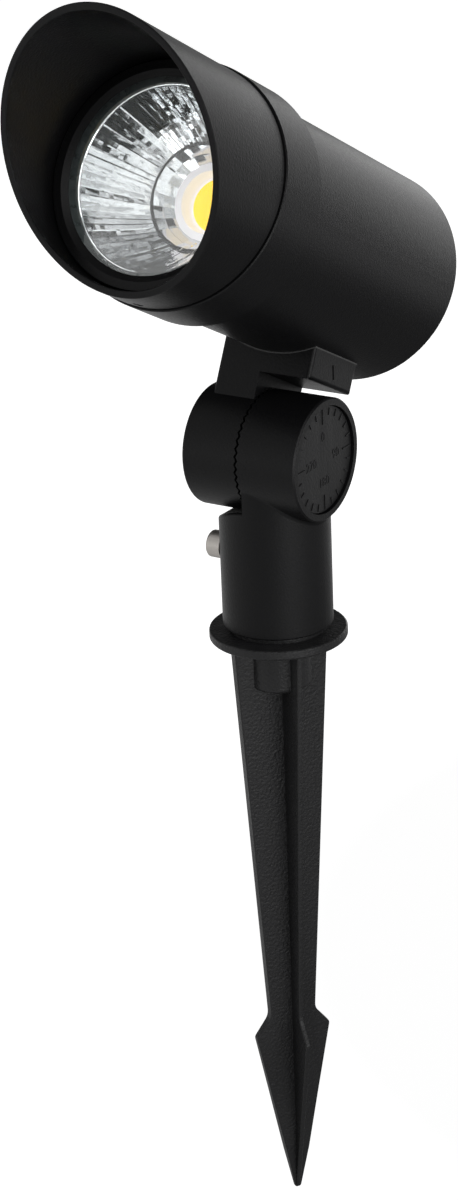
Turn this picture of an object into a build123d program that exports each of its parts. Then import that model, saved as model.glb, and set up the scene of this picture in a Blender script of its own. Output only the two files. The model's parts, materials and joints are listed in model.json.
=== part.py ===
from build123d import *

import os
from math import cos, radians, sin, sqrt

os.makedirs("parts", exist_ok=True)

# Garden spike spotlight, in millimetres and degrees.
# Origin: centre of the spike flange's underside, where the lamp meets the ground.
# +Z runs up the stem, the knuckle's axis lies along X, and the lamp faces -Y, tilted up.

# ---- Driving dimensions: pose and overall places -----------------------------------------
TILT = 27.0                # the lamp's aim above level
KNUCKLE_HEIGHT = 59.3      # pivot axis above the ground
HEAD_OFFSET = 60.8         # lamp axis above the pivot axis, square to the lamp
CLEARANCE = 0.05           # radial play of every turning or sliding fit
SCREW_PLAY = 0.2           # radial play of a screw's shank in a through hole
WIDE_PLAY = 0.3            # the same in a casting or a gasket
OVERCUT = 1.0              # how far a cutting form runs past what it cuts

# ---- Ground spike ------------------------------------------------------------------------
FLANGE_RADIUS = 21.3
FLANGE_THICKNESS = 3.0
SEAT_RADIUS = 15.2         # low step that carries the stem
SEAT_HEIGHT = 1.7
SPIGOT_RADIUS = 12.95
SPIGOT_TOP = 33.0
SPIGOT_BORE = 9.0
CORE_BORE = 6.5
CORE_FLOOR = -6.5
BOSS_RADIUS = 9.9
BOSS_DEPTH = 16.1
SPIKE_LENGTH = 198.0
FIN_TURN = -34.7           # direction of the thin fins, from +X towards +Y
FIN_THICKNESS = 1.5        # of the thin fins; the two across them are wedges
FIN_EDGE = 0.4             # rounding of every fin's outer edges
WEDGE_ROOT = 3.0           # half-thickness of the wedges on the stem axis, by the flange
WEDGE_ROOT_LOW = 2.1       # the same where the point begins
WEDGE_NARROWING = 0.08     # half-thickness lost per millimetre outwards
POINT_LEVEL = -165.0
POINT_WIDTH = 0.8          # half-thickness of the wedges at the tip
FIN_ROOT = 15.7            # fin half-widths, from the flange down
FIN_NECK = 7.7
BARB_RADIUS = 12.9
NECK_LEVEL = -132.0
BARB_LEVEL = -138.5
TIP_RADIUS = 1.0
NECK_ROUNDING = 5.0
BARB_ROUNDING = 1.8
TIP_ROUNDING = 0.8
FLANGE_EDGE = 0.6
BOSS_EDGE = 1.6
SPIGOT_EDGE = 0.8
LOCK_GROOVE_DEPTH = 1.1
LOCK_GROOVE_WIDTH = 5.6

# ---- Stem --------------------------------------------------------------------------------
STEM_RADIUS = 17.0
STEM_FOOT = FLANGE_THICKNESS + SEAT_HEIGHT
STEM_BORE_TOP = 34.0
STEM_EDGE = 0.5
SCOOP_RADIUS = 21.4        # room for the arm's drum, about the pivot axis
SCOOP_EDGE = 1.0
STEM_BLEND = 1.5           # rounding where the drum runs into the stem
LOCK_LEVEL = 26.1          # height of the lock screw
LOCK_SCREW_RADIUS = 2.5
LOCK_TIP = 12.1            # distances from the stem axis
LOCK_HEAD_START = 18.0
LOCK_HEAD_END = 23.0
LOCK_HEAD_RADIUS = 4.25
LOCK_SOCKET_FLATS = 4.0
LOCK_SOCKET_DEPTH = 2.6
LOCK_TIP_EDGE = 0.7
LOCK_HEAD_EDGE = 0.8

# ---- Knuckle: places along X -------------------------------------------------------------
DRUM_RADIUS = 18.75
DRUM_EDGE = 0.5
ARM_DRUM_EDGE = 1.0
STEM_DRUM_END = 18.7
STEM_DRUM_FACE = -0.8
ARM_DRUM_FACE = -2.2
ARM_DRUM_END = -20.5
TOOTH_HEIGHT = 0.65
TOOTH_COUNT = 48
TOOTH_INNER_RADIUS = 13.0
PIVOT_RADIUS = 3.0
PIVOT_POCKET_FLOOR = -10.4
PIVOT_POCKET_RADIUS = 6.6
WASHER_RADIUS = 6.0
WASHER_THICKNESS = 1.4
WASHER_EDGE = 0.2
SPRING_WASHER_RADIUS = 5.4
SPRING_WASHER_THICKNESS = 1.6
SPRING_WASHER_GAP = 1.2
BOLT_HEAD_RADIUS = 5.0
BOLT_HEAD_HEIGHT = 6.0
BOLT_LENGTH = 25.0
BOLT_SOCKET_FLATS = 5.0
BOLT_SOCKET_DEPTH = 3.0
BOLT_TIP_EDGE = 0.6
BOLT_HEAD_EDGE = 0.5
NUT_FLATS = 10.0
NUT_FLOOR = 6.5
NUT_THICKNESS = 5.0
DIAL_RECESS_RADIUS = 16.4
DIAL_FLOOR = 16.1
DIAL_THICKNESS = 1.7
DIAL_EDGE = 0.3
TICK_COUNT = 24
TICK_HEIGHT = 0.25
TICK_WIDTH = 0.45
TICK_LENGTH = 2.2
QUARTER_TICK_COUNT = 4
QUARTER_TICK_LENGTH = 4.6
TICK_RING_RADIUS = 15.6

# ---- Tilt arm, in the lamp's own directions about the pivot -------------------------------
BLOCK_LEFT = -16.7
BLOCK_RIGHT = 14.75
BLOCK_LENGTH = 26.7
BLOCK_UNDERSIDE = 21.6
BLOCK_CORNER = 1.2
GASKET_THICKNESS = 0.4
INDEX_MIDDLE = 26.0        # above the pivot
INDEX_LENGTH = 4.6
INDEX_WIDTH = 0.8
INDEX_DEPTH = 0.3
ARM_SCREW_OFFSET = -9.45   # across the lamp
ARM_SCREW_PITCH = 14.0     # along the lamp
ARM_SCREW_RADIUS = 2.0
ARM_SCREW_LENGTH = 16.0
ARM_SCREW_HEAD_RADIUS = 3.5
ARM_SCREW_HEAD_HEIGHT = 2.6
ARM_SCREW_HEAD_EDGE = 0.4
ARM_SCREW_HEAD_ROOM = 0.4
ARM_SCREW_SOCKET_FLATS = 3.0
ARM_SCREW_SOCKET_DEPTH = 2.0
ARM_HOLE_ROOM = 2.0        # depth left below the screws' ends
ARM_PAD_DEPTH = 6.4        # body's outside to the screws' flat seat
ARM_PAD_LENGTH = 24.0

# ---- Lamp: places along its axis, forward from the foot of the pivot ----------------------
REAR_FACE = -30.7
REAR_WALL = 4.0
SHELF = 52.5
BODY_FRONT = 63.2
NECK_FRONT = 74.3
RING_STEP = 74.5
RING_FRONT = 83.0
HOOD_REAR = 83.4
RING_SPIGOT_END = 86.1
GRUB_PLACE = 88.2
GLASS_FRONT = 93.4
NOSE_FACE = 94.5
HOOD_LOWER_LIP = 97.0
HOOD_UPPER_LIP = 139.1

# ---- Lamp: radii -------------------------------------------------------------------------
BODY_RADIUS = 32.9
BODY_BORE = 28.5
BODY_FRONT_BORE = 29.3
NECK_RADIUS = 31.8
RING_RADIUS = 35.5
RING_REAR_BORE = 31.9
RING_BORE = 30.1
HOOD_RADIUS = 34.9
HOOD_BORE = 32.9
NOSE_RADIUS = 32.4
LIP_OUTER = 29.7
LIP_INNER = 27.8
O_RING_THICKNESS = 1.4
O_RING_PLACE = 67.0
O_RING_GROOVE = 1.3
REAR_EDGE = 1.2
RING_EDGE = 0.3
RIM_EDGE = 0.4
GRUB_RADIUS = 1.45
GRUB_TIP = 31.95           # distances from the lamp axis
GRUB_END = 34.7
GRUB_GROOVE_WIDTH = 3.4
GRUB_GROOVE_DEPTH = 0.6
GRUB_TIP_EDGE = 0.6
GRUB_END_EDGE = 0.2
GRUB_SOCKET_FLATS = 1.5
GRUB_SOCKET_DEPTH = 1.2

# ---- Optics and light source -------------------------------------------------------------
GLASS_RADIUS = 30.0
GLASS_THICKNESS = 3.0
GLASS_EDGE = 0.4
GASKET_INNER = 26.6
GASKET_HEIGHT = 1.1
REFLECTOR_WALL = 1.0
REFLECTOR_FOOT_RADIUS = 11.3
REFLECTOR_MOUTH_RADIUS = 26.3
REFLECTOR_FLANGE_RADIUS = 29.9
REFLECTOR_FLANGE = 0.8
PLATE_RADIUS = 29.1
PLATE_THICKNESS = 3.3
PLATE_EDGE = 0.3
PAD_THICKNESS = 0.3
BOARD_SIDE = 19.0
BOARD_THICKNESS = 1.4
EMITTER_RADIUS = 7.7
EMITTER_HEIGHT = 0.5
EMITTER_EDGE = 0.3
DAM_RADIUS = 8.2
HOLDER_RADIUS = 16.6
HOLDER_OPENING = 8.3       # at the board
HOLDER_MOUTH = 9.1         # at the holder's front
HOLDER_RIM = 4.9           # from the board to the front
HOLDER_EDGE = 0.4
BOARD_POCKET_PLAY = 0.1
HOLDER_SCREW_PLACE = 14.2
PLATE_SCREW_PLACE = 25.2
PLATE_SCREW_COUNT = 3
PLATE_SCREW_RADIUS = 1.5
PLATE_SCREW_LENGTH = 8.5   # in the body's boss
PLATE_HOLE_DEPTH = 9.0
PLATE_SCREW_HEAD_RADIUS = 2.75
PLATE_SCREW_HEAD_HEIGHT = 1.8
PLATE_SCREW_HEAD_EDGE = 0.6
PLATE_BOSS_RADIUS = 3.8
PLATE_BOSS_LENGTH = 12.0
SMALL_SCREW_RADIUS = 1.25
HOLDER_SCREW_HEAD_RADIUS = 1.5
HOLDER_SCREW_HEAD_HEIGHT = 0.8
HOLDER_SCREW_HEAD_PLAY = 0.1
HOLDER_SCREW_END = 0.4     # the screws stop this far short of the plate's back
BRACKET_SCREW_HEAD_RADIUS = 2.0
BRACKET_SCREW_HEAD_HEIGHT = 1.5
BRACKET_SCREW_END = 0.8    # the screws stand this far out of the bracket
LEAD_SLOT_LENGTH = 6.0
LEAD_SLOT_WIDTH = 3.0

# ---- Driver and gland --------------------------------------------------------------------
DRIVER_WIDTH = 42.0
DRIVER_HEIGHT = 28.0
DRIVER_REAR = -17.0
DRIVER_FRONT = 33.0
DRIVER_CORNER = 2.0
DRIVER_EDGE = 0.8
BRACKET_SHEET = 1.2
BRACKET_WIDTH = 14.0
BRACKET_SCREW_PLACE = 19.2
BRACKET_REAR = 3.0
BRACKET_BEND = 0.9
LEAD_RADIUS = 0.9
LEAD_SPACING = 2.6
LEAD_START = -8.0
LEAD_HOLE_PLACE = -21.5
LEAD_STRAIGHT = 9.0        # out of the driver before the first bend
LEAD_APPROACH = 6.0        # behind the plate after the second
LEAD_BEND = 3.0
LEAD_LAST_BEND = 1.9
GLAND_FLATS = 15.0
GLAND_THREAD_RADIUS = 6.0
GLAND_INSIDE = 8.0
GLAND_HEX = 4.0
GLAND_TAIL = 6.0
GLAND_SEAL_RADIUS = 5.0
GLAND_SEAL_DEPTH = 3.0
GLAND_GAP = 0.4
GLAND_NUT_HEX = 5.0
GLAND_MOUTH = 3.0
GLAND_MOUTH_RADIUS = 4.8
GLAND_DOME_EDGE = 0.3
CABLE_RADIUS = 3.3

# ---- Directions and planes worked out from the sizes above --------------------------------
across = Vector(1, 0, 0)
forward = Vector(0, -cos(radians(TILT)), sin(radians(TILT)))
upward = Vector(0, sin(radians(TILT)), cos(radians(TILT)))
pivot = Vector(0, 0, KNUCKLE_HEIGHT)
lamp_foot = pivot + upward * HEAD_OFFSET
lamp_axis = Axis(lamp_foot, forward)
pivot_axis = Axis(pivot, across)

# Half-sections: sketch X and Y are (radius, height), (along X, radius), (radius, forward)
stem_section = Plane.XZ
knuckle_section = Plane(pivot, x_dir=across, z_dir=(0, -1, 0))
lamp_section = Plane(lamp_foot, x_dir=across, z_dir=upward * -1)


def lamp_plane(place):
    """Plane square to the lamp: sketch X is across, sketch Y is up, its normal looks forward."""
    return Plane(lamp_foot + forward * place, x_dir=across, z_dir=forward)


def knuckle_plane(place):
    """Plane square to the pivot, held level: sketch X is +Y, sketch Y is up, it faces +X."""
    return Plane((place, 0, KNUCKLE_HEIGHT), x_dir=(0, 1, 0), z_dir=across)


def arm_plane(place):
    """The same plane turned with the lamp: sketch X is backward, sketch Y is the lamp's up."""
    return Plane((place, 0, KNUCKLE_HEIGHT), x_dir=forward * -1, z_dir=across)


def arm_screw_plane(place, height):
    """Plane across an arm screw, at a height on the lamp's up axis; its normal looks down."""
    corner = lamp_foot + forward * place + across * ARM_SCREW_OFFSET + upward * height
    return Plane(corner, x_dir=across, z_dir=upward * -1)


def turned(section, axis, outline, mode=Mode.ADD):
    """Revolve a closed outline, drawn on a half-section, about its axis."""
    with BuildSketch(section) as profile:
        with BuildLine():
            Polyline(*outline, close=True)
        make_face()
    revolve(profile.sketch, axis=axis, mode=mode)


def bar(plane, radius, length, mode=Mode.ADD):
    """Round bar, or hole, from a plane along its normal."""
    with BuildSketch(plane) as profile:
        Circle(radius)
    extrude(profile.sketch, amount=length, mode=mode)


def hex_bar(plane, flats, length, mode=Mode.ADD):
    """Hexagonal bar, or socket, from a plane along its normal, by its width across flats."""
    with BuildSketch(plane) as profile:
        RegularPolygon(radius=flats / 2, side_count=6, major_radius=False)
    extrude(profile.sketch, amount=length, mode=mode)


def bars(plane, places, radius, length, mode=Mode.ADD):
    """Round bars, or holes, from a plane along its normal, at each of the places on it."""
    with BuildSketch(plane) as profile:
        with Locations(*places):
            Circle(radius)
    extrude(profile.sketch, amount=length, mode=mode)


def round_edges(part, radius):
    """The circular edges of a part that have the given radius."""
    circles = part.edges().filter_by(GeomType.CIRCLE)
    return circles.filter_by(lambda edge: abs(edge.radius - radius) < 0.01)


def fin_plane(turn):
    """Upright plane through the stem axis: sketch X points to the given direction, Y is up."""
    return Plane(
        (0, 0, 0),
        x_dir=(cos(radians(turn)), sin(radians(turn)), 0),
        z_dir=(sin(radians(turn)), -cos(radians(turn)), 0),
    )


def diamond(turn, level, root):
    """Level section of both wedges together, widest on the stem axis, at a height."""
    reach = root / WEDGE_NARROWING
    with BuildSketch(Plane((0, 0, level), x_dir=fin_plane(turn).x_dir), mode=Mode.PRIVATE) as section:
        with BuildLine():
            Polyline((reach, 0), (0, root), (-reach, 0), (0, -root), close=True)
        make_face()
    return section.sketch


def wedge_form(turn):
    """Body of both wedges: thick on the stem axis, thinner outwards and downwards."""
    with BuildPart(mode=Mode.PRIVATE) as form:
        loft([diamond(turn, 0, WEDGE_ROOT).face(), diamond(turn, POINT_LEVEL, WEDGE_ROOT_LOW).face()])
        extrude(diamond(turn, POINT_LEVEL, WEDGE_ROOT_LOW), amount=-SPIKE_LENGTH - POINT_LEVEL)
        with BuildSketch(fin_plane(turn + 90)):
            with BuildLine():
                Polyline(
                    (0, 0),
                    (WEDGE_ROOT, 0),
                    (WEDGE_ROOT, POINT_LEVEL),
                    (POINT_WIDTH, -SPIKE_LENGTH),
                    (0, -SPIKE_LENGTH),
                    close=True,
                )
            make_face()
            mirror(about=Plane.YZ)
        extrude(amount=SPIKE_LENGTH, both=True, mode=Mode.INTERSECT)
    return form.part


def on_rim(edge, turn):
    """Whether an edge runs down the outside of a fin, off the stem axis."""
    outward = abs((edge @ 0.5).dot(fin_plane(turn).x_dir))
    drop = abs((edge @ 0).Z - (edge @ 1).Z)
    return outward > TIP_RADIUS / 2 and drop > TIP_RADIUS / 4


def barbed_blade(turn, half_thickness, form=None):
    """Two opposite fins in one blade with rounded edges, cut to a form where one is given."""
    with BuildPart(mode=Mode.PRIVATE) as blade:
        with BuildSketch(fin_plane(turn)):
            with BuildLine():
                FilletPolyline(
                    (0, 0),
                    (FIN_ROOT, 0),
                    (FIN_NECK, NECK_LEVEL),
                    (BARB_RADIUS, BARB_LEVEL),
                    (TIP_RADIUS, -SPIKE_LENGTH),
                    (0, -SPIKE_LENGTH),
                    close=True,
                    radius=(0, 0, NECK_ROUNDING, BARB_ROUNDING, TIP_ROUNDING, 0),
                )
            make_face()
            mirror(about=Plane.YZ)
        extrude(amount=half_thickness, both=True)
        if form is not None:
            add(form, mode=Mode.INTERSECT)
        fillet(blade.edges().filter_by(lambda edge: on_rim(edge, turn)), FIN_EDGE)
    return blade.part


def tooth_gap():
    """One V gap of a face-tooth ring, along +X below the XY plane: it widens outwards."""
    with BuildPart(mode=Mode.PRIVATE) as gap:
        for radius in (TOOTH_INNER_RADIUS - 1.0, DRUM_RADIUS + 1.0):
            half_width = radius * sin(radians(180 / TOOTH_COUNT))
            depth = TOOTH_HEIGHT * radius / DRUM_RADIUS
            with BuildSketch(Plane((radius, 0, 0), x_dir=(0, 1, 0), z_dir=(1, 0, 0))):
                with BuildLine():
                    Polyline((-half_width, 0), (half_width, 0), (0, -depth), close=True)
                make_face()
        loft()
    return gap.part


def toothed_ring(root, first_angle):
    """Ring of face teeth that stands on a plane and points along its normal."""
    with BuildPart(mode=Mode.PRIVATE) as ring:
        with BuildSketch():
            Circle(DRUM_RADIUS)
            Circle(TOOTH_INNER_RADIUS, mode=Mode.SUBTRACT)
        extrude(amount=TOOTH_HEIGHT)
        with Locations((0, 0, TOOTH_HEIGHT)):
            with PolarLocations(0, TOOTH_COUNT, start_angle=first_angle):
                add(tooth_gap(), mode=Mode.SUBTRACT)
    return ring.part.moved(root.location)


# ---- Ground spike: flange, boss, hollow spigot and four barbed fins -----------------------
groove_low = LOCK_LEVEL - LOCK_GROOVE_WIDTH / 2
groove_high = LOCK_LEVEL + LOCK_GROOVE_WIDTH / 2
groove_floor = SPIGOT_RADIUS - LOCK_GROOVE_DEPTH

with BuildPart() as ground_spike:
    turned(stem_section, Axis.Z, [
        (0, -BOSS_DEPTH),
        (BOSS_RADIUS, -BOSS_DEPTH),
        (BOSS_RADIUS, 0),
        (FLANGE_RADIUS, 0),
        (FLANGE_RADIUS, FLANGE_THICKNESS),
        (SEAT_RADIUS, FLANGE_THICKNESS),
        (SEAT_RADIUS, STEM_FOOT),
        (SPIGOT_RADIUS, STEM_FOOT),
        (SPIGOT_RADIUS, groove_low),
        (groove_floor, groove_low + LOCK_GROOVE_DEPTH),
        (groove_floor, groove_high - LOCK_GROOVE_DEPTH),
        (SPIGOT_RADIUS, groove_high),
        (SPIGOT_RADIUS, SPIGOT_TOP - SPIGOT_EDGE),
        (SPIGOT_RADIUS - SPIGOT_EDGE, SPIGOT_TOP),
        (SPIGOT_BORE, SPIGOT_TOP),
        (SPIGOT_BORE, FLANGE_THICKNESS),
        (CORE_BORE, FLANGE_THICKNESS),
        (CORE_BORE, CORE_FLOOR),
        (0, CORE_FLOOR),
    ])
    fillet(round_edges(ground_spike, BOSS_RADIUS).sort_by(Axis.Z)[0], BOSS_EDGE)
    fillet(round_edges(ground_spike, FLANGE_RADIUS), FLANGE_EDGE)
    add(barbed_blade(FIN_TURN, FIN_THICKNESS / 2))
    add(barbed_blade(FIN_TURN + 90, WEDGE_ROOT, wedge_form(FIN_TURN + 90)))
ground_spike.part.label = "ground_spike"
export_step(ground_spike.part, "parts/ground_spike.step")

# ---- Stem: one casting with the socket below and the dial side's drum above ----------------
stem_tooth_root = (STEM_DRUM_FACE, 0, KNUCKLE_HEIGHT)

with BuildPart() as stem_casting:
    turned(stem_section, Axis.Z, [
        (SPIGOT_RADIUS + CLEARANCE, STEM_FOOT),
        (STEM_RADIUS - STEM_EDGE, STEM_FOOT),
        (STEM_RADIUS, STEM_FOOT + STEM_EDGE),
        (STEM_RADIUS, KNUCKLE_HEIGHT),
        (0, KNUCKLE_HEIGHT),
        (0, STEM_BORE_TOP),
        (SPIGOT_RADIUS + CLEARANCE, STEM_BORE_TOP),
    ])
    bar(knuckle_plane(STEM_DRUM_FACE), SCOOP_RADIUS, -2 * STEM_RADIUS, mode=Mode.SUBTRACT)
    fillet(stem_casting.edges().filter_by(GeomType.BSPLINE), SCOOP_EDGE)
    bar(knuckle_plane(STEM_DRUM_FACE), DRUM_RADIUS, STEM_DRUM_END - STEM_DRUM_FACE)
    fillet(stem_casting.edges().filter_by(GeomType.BSPLINE).sort_by(Axis.X)[-2:], STEM_BLEND)
    bar(knuckle_plane(DIAL_FLOOR), DIAL_RECESS_RADIUS, STEM_DRUM_END, mode=Mode.SUBTRACT)
    chamfer(round_edges(stem_casting, DRUM_RADIUS).sort_by(Axis.X)[-1], DRUM_EDGE)
    add(toothed_ring(Plane(stem_tooth_root, x_dir=(0, 1, 0), z_dir=across * -1), 0))
    bar(knuckle_plane(ARM_DRUM_FACE), PIVOT_RADIUS + CLEARANCE, DIAL_FLOOR, mode=Mode.SUBTRACT)
    hex_bar(knuckle_plane(NUT_FLOOR), NUT_FLATS + 2 * CLEARANCE, DIAL_FLOOR, mode=Mode.SUBTRACT)
    bar(Plane((0, 0, LOCK_LEVEL), z_dir=across * -1), LOCK_SCREW_RADIUS + CLEARANCE,
        2 * STEM_RADIUS, mode=Mode.SUBTRACT)
stem_casting.part.label = "stem_casting"
export_step(stem_casting.part, "parts/stem_casting.step")

# ---- Lock screw: socket cap screw through the stem's wall into the spigot's groove ---------
with BuildPart() as lock_screw:
    turned(stem_section, Axis.Z, [
        (0, LOCK_TIP),
        (LOCK_SCREW_RADIUS - LOCK_TIP_EDGE, LOCK_TIP),
        (LOCK_SCREW_RADIUS, LOCK_TIP + LOCK_TIP_EDGE),
        (LOCK_SCREW_RADIUS, LOCK_HEAD_START),
        (LOCK_HEAD_RADIUS, LOCK_HEAD_START),
        (LOCK_HEAD_RADIUS, LOCK_HEAD_END),
        (0, LOCK_HEAD_END),
    ])
    fillet(round_edges(lock_screw, LOCK_HEAD_RADIUS).sort_by(Axis.Z)[-1], LOCK_HEAD_EDGE)
    socket_floor = Plane.XY.offset(LOCK_HEAD_END - LOCK_SOCKET_DEPTH)
    hex_bar(socket_floor, LOCK_SOCKET_FLATS, LOCK_SOCKET_DEPTH, mode=Mode.SUBTRACT)
lock_place = Plane((0, 0, LOCK_LEVEL), x_dir=(0, 1, 0), z_dir=across * -1)
lock_screw.part.locate(lock_place.location)
lock_screw.part.label = "lock_screw"
export_step(lock_screw.part, "parts/lock_screw.step")

# ---- Dial plate: a moulded disc with raised ticks, pressed in over the nut ------------------
with BuildPart() as dial_plate:
    bar(knuckle_plane(DIAL_FLOOR), DIAL_RECESS_RADIUS - CLEARANCE, DIAL_THICKNESS)
    chamfer(dial_plate.faces().sort_by(Axis.X)[-1].edges(), DIAL_EDGE)
    with BuildSketch(knuckle_plane(DIAL_FLOOR + DIAL_THICKNESS)):
        with PolarLocations(TICK_RING_RADIUS - TICK_LENGTH / 2, TICK_COUNT):
            Rectangle(TICK_LENGTH, TICK_WIDTH)
        with PolarLocations(TICK_RING_RADIUS - QUARTER_TICK_LENGTH / 2, QUARTER_TICK_COUNT):
            Rectangle(QUARTER_TICK_LENGTH, TICK_WIDTH)
    extrude(amount=TICK_HEIGHT)
dial_plate.part.label = "dial_plate"
export_step(dial_plate.part, "parts/dial_plate.step")

# ---- Pivot bolt and its washers in the arm's pocket, captive nut behind the dial ------------
washer_face = PIVOT_POCKET_FLOOR - WASHER_THICKNESS
spring_washer_face = washer_face - SPRING_WASHER_THICKNESS

with BuildPart() as pivot_washer:
    bar(knuckle_plane(PIVOT_POCKET_FLOOR), WASHER_RADIUS, -WASHER_THICKNESS)
    bar(knuckle_plane(PIVOT_POCKET_FLOOR), PIVOT_RADIUS + SCREW_PLAY, -WASHER_THICKNESS,
        mode=Mode.SUBTRACT)
    chamfer(round_edges(pivot_washer, WASHER_RADIUS), WASHER_EDGE)
pivot_washer.part.label = "pivot_washer"
export_step(pivot_washer.part, "parts/pivot_washer.step")

with BuildPart() as pivot_spring_washer:
    bar(knuckle_plane(washer_face), SPRING_WASHER_RADIUS, -SPRING_WASHER_THICKNESS)
    bar(knuckle_plane(washer_face), PIVOT_RADIUS + SCREW_PLAY, -SPRING_WASHER_THICKNESS,
        mode=Mode.SUBTRACT)
    with BuildSketch(knuckle_plane(washer_face)):
        with Locations((0, SPRING_WASHER_RADIUS)):
            Rectangle(SPRING_WASHER_GAP, 2 * (SPRING_WASHER_RADIUS - PIVOT_RADIUS))
    extrude(amount=-SPRING_WASHER_THICKNESS, mode=Mode.SUBTRACT)
pivot_spring_washer.part.label = "pivot_spring_washer"
export_step(pivot_spring_washer.part, "parts/pivot_spring_washer.step")

with BuildPart() as pivot_bolt:
    turned(knuckle_section, pivot_axis, [
        (spring_washer_face - BOLT_HEAD_HEIGHT, 0),
        (spring_washer_face - BOLT_HEAD_HEIGHT, BOLT_HEAD_RADIUS),
        (spring_washer_face, BOLT_HEAD_RADIUS),
        (spring_washer_face, PIVOT_RADIUS),
        (spring_washer_face + BOLT_LENGTH - BOLT_TIP_EDGE, PIVOT_RADIUS),
        (spring_washer_face + BOLT_LENGTH, PIVOT_RADIUS - BOLT_TIP_EDGE),
        (spring_washer_face + BOLT_LENGTH, 0),
    ])
    head_end = knuckle_plane(spring_washer_face - BOLT_HEAD_HEIGHT)
    chamfer(round_edges(pivot_bolt, BOLT_HEAD_RADIUS).sort_by(Axis.X)[0], BOLT_HEAD_EDGE)
    hex_bar(head_end, BOLT_SOCKET_FLATS, BOLT_SOCKET_DEPTH, mode=Mode.SUBTRACT)
pivot_bolt.part.label = "pivot_bolt"
export_step(pivot_bolt.part, "parts/pivot_bolt.step")

with BuildPart() as pivot_nut:
    hex_bar(knuckle_plane(NUT_FLOOR), NUT_FLATS, NUT_THICKNESS)
    bar(knuckle_plane(NUT_FLOOR), PIVOT_RADIUS + CLEARANCE, NUT_THICKNESS, mode=Mode.SUBTRACT)
pivot_nut.part.label = "pivot_nut"
export_step(pivot_nut.part, "parts/pivot_nut.step")

# ---- Tilt arm: saddle block, neck and toothed drum in one casting ---------------------------
saddle_radius = BODY_RADIUS + GASKET_THICKNESS
block_width = BLOCK_RIGHT - BLOCK_LEFT
arm_screw_places = (-ARM_SCREW_PITCH / 2, ARM_SCREW_PITCH / 2)
arm_screw_head = -(BODY_RADIUS - ARM_PAD_DEPTH)

with BuildPart() as tilt_arm:
    with BuildSketch(arm_plane(BLOCK_LEFT)):
        with Locations((0, BLOCK_UNDERSIDE)):
            Rectangle(BLOCK_LENGTH, HEAD_OFFSET, align=(Align.CENTER, Align.MIN))
    extrude(amount=block_width)
    fillet(tilt_arm.faces().sort_by(Axis.X)[-1].edges(), BLOCK_CORNER)
    with BuildSketch(arm_plane(BLOCK_LEFT)):
        Rectangle(BLOCK_LENGTH, BLOCK_UNDERSIDE + OVERCUT, align=(Align.CENTER, Align.MIN))
    extrude(amount=ARM_DRUM_FACE - BLOCK_LEFT)
    fillet(tilt_arm.edges().filter_by(Axis(pivot, upward)).sort_by(Axis.X)[:2], BLOCK_CORNER)
    bar(lamp_plane(-BLOCK_LENGTH), saddle_radius, 2 * BLOCK_LENGTH, mode=Mode.SUBTRACT)
    bar(arm_plane(ARM_DRUM_FACE), DRUM_RADIUS, ARM_DRUM_END - ARM_DRUM_FACE)
    fillet(round_edges(tilt_arm, DRUM_RADIUS).sort_by(Axis.X)[0], ARM_DRUM_EDGE)
    add(toothed_ring(knuckle_plane(ARM_DRUM_FACE), 180 / TOOTH_COUNT))
    bar(knuckle_plane(ARM_DRUM_END), PIVOT_RADIUS + CLEARANCE, -2 * ARM_DRUM_END,
        mode=Mode.SUBTRACT)
    bar(knuckle_plane(PIVOT_POCKET_FLOOR), PIVOT_POCKET_RADIUS, 2 * ARM_DRUM_END,
        mode=Mode.SUBTRACT)
    with BuildSketch(arm_plane(BLOCK_RIGHT)):
        with Locations((0, INDEX_MIDDLE)):
            Rectangle(INDEX_WIDTH, INDEX_LENGTH, rotation=TILT)
    extrude(amount=-INDEX_DEPTH, mode=Mode.SUBTRACT)
    for place in arm_screw_places:
        bar(arm_screw_plane(place, arm_screw_head), ARM_SCREW_RADIUS + CLEARANCE,
            ARM_SCREW_LENGTH + ARM_HOLE_ROOM, mode=Mode.SUBTRACT)
tilt_arm.part.label = "tilt_arm"
export_step(tilt_arm.part, "parts/tilt_arm.step")

# ---- Saddle gasket between the arm and the body ---------------------------------------------
with BuildPart() as arm_gasket:
    with BuildSketch(arm_plane(BLOCK_LEFT)):
        with Locations((0, BLOCK_UNDERSIDE)):
            Rectangle(BLOCK_LENGTH, HEAD_OFFSET - BLOCK_UNDERSIDE, align=(Align.CENTER, Align.MIN))
    extrude(amount=block_width)
    bar(lamp_plane(-BLOCK_LENGTH), saddle_radius, 2 * BLOCK_LENGTH, mode=Mode.INTERSECT)
    bar(lamp_plane(-BLOCK_LENGTH), BODY_RADIUS, 2 * BLOCK_LENGTH, mode=Mode.SUBTRACT)
    for place in arm_screw_places:
        bar(arm_screw_plane(place, arm_screw_head), ARM_SCREW_RADIUS + WIDE_PLAY,
            ARM_SCREW_LENGTH, mode=Mode.SUBTRACT)
arm_gasket.part.label = "arm_gasket"
export_step(arm_gasket.part, "parts/arm_gasket.step")

# ---- Arm screws: two pan heads inside the body, down into the arm ---------------------------
with BuildPart() as arm_screws:
    for place in arm_screw_places:
        seat = arm_screw_plane(place, arm_screw_head)
        bar(seat, ARM_SCREW_RADIUS, ARM_SCREW_LENGTH)
        bar(seat, ARM_SCREW_HEAD_RADIUS, -ARM_SCREW_HEAD_HEIGHT)
        hex_bar(seat.offset(-ARM_SCREW_HEAD_HEIGHT), ARM_SCREW_SOCKET_FLATS,
                ARM_SCREW_SOCKET_DEPTH, mode=Mode.SUBTRACT)
    head_tops = round_edges(arm_screws, ARM_SCREW_HEAD_RADIUS).group_by(Axis(pivot, upward))[-1]
    chamfer(head_tops, ARM_SCREW_HEAD_EDGE)
arm_screws.part.label = "arm_screws"
export_step(arm_screws.part, "parts/arm_screws.step")

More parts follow.
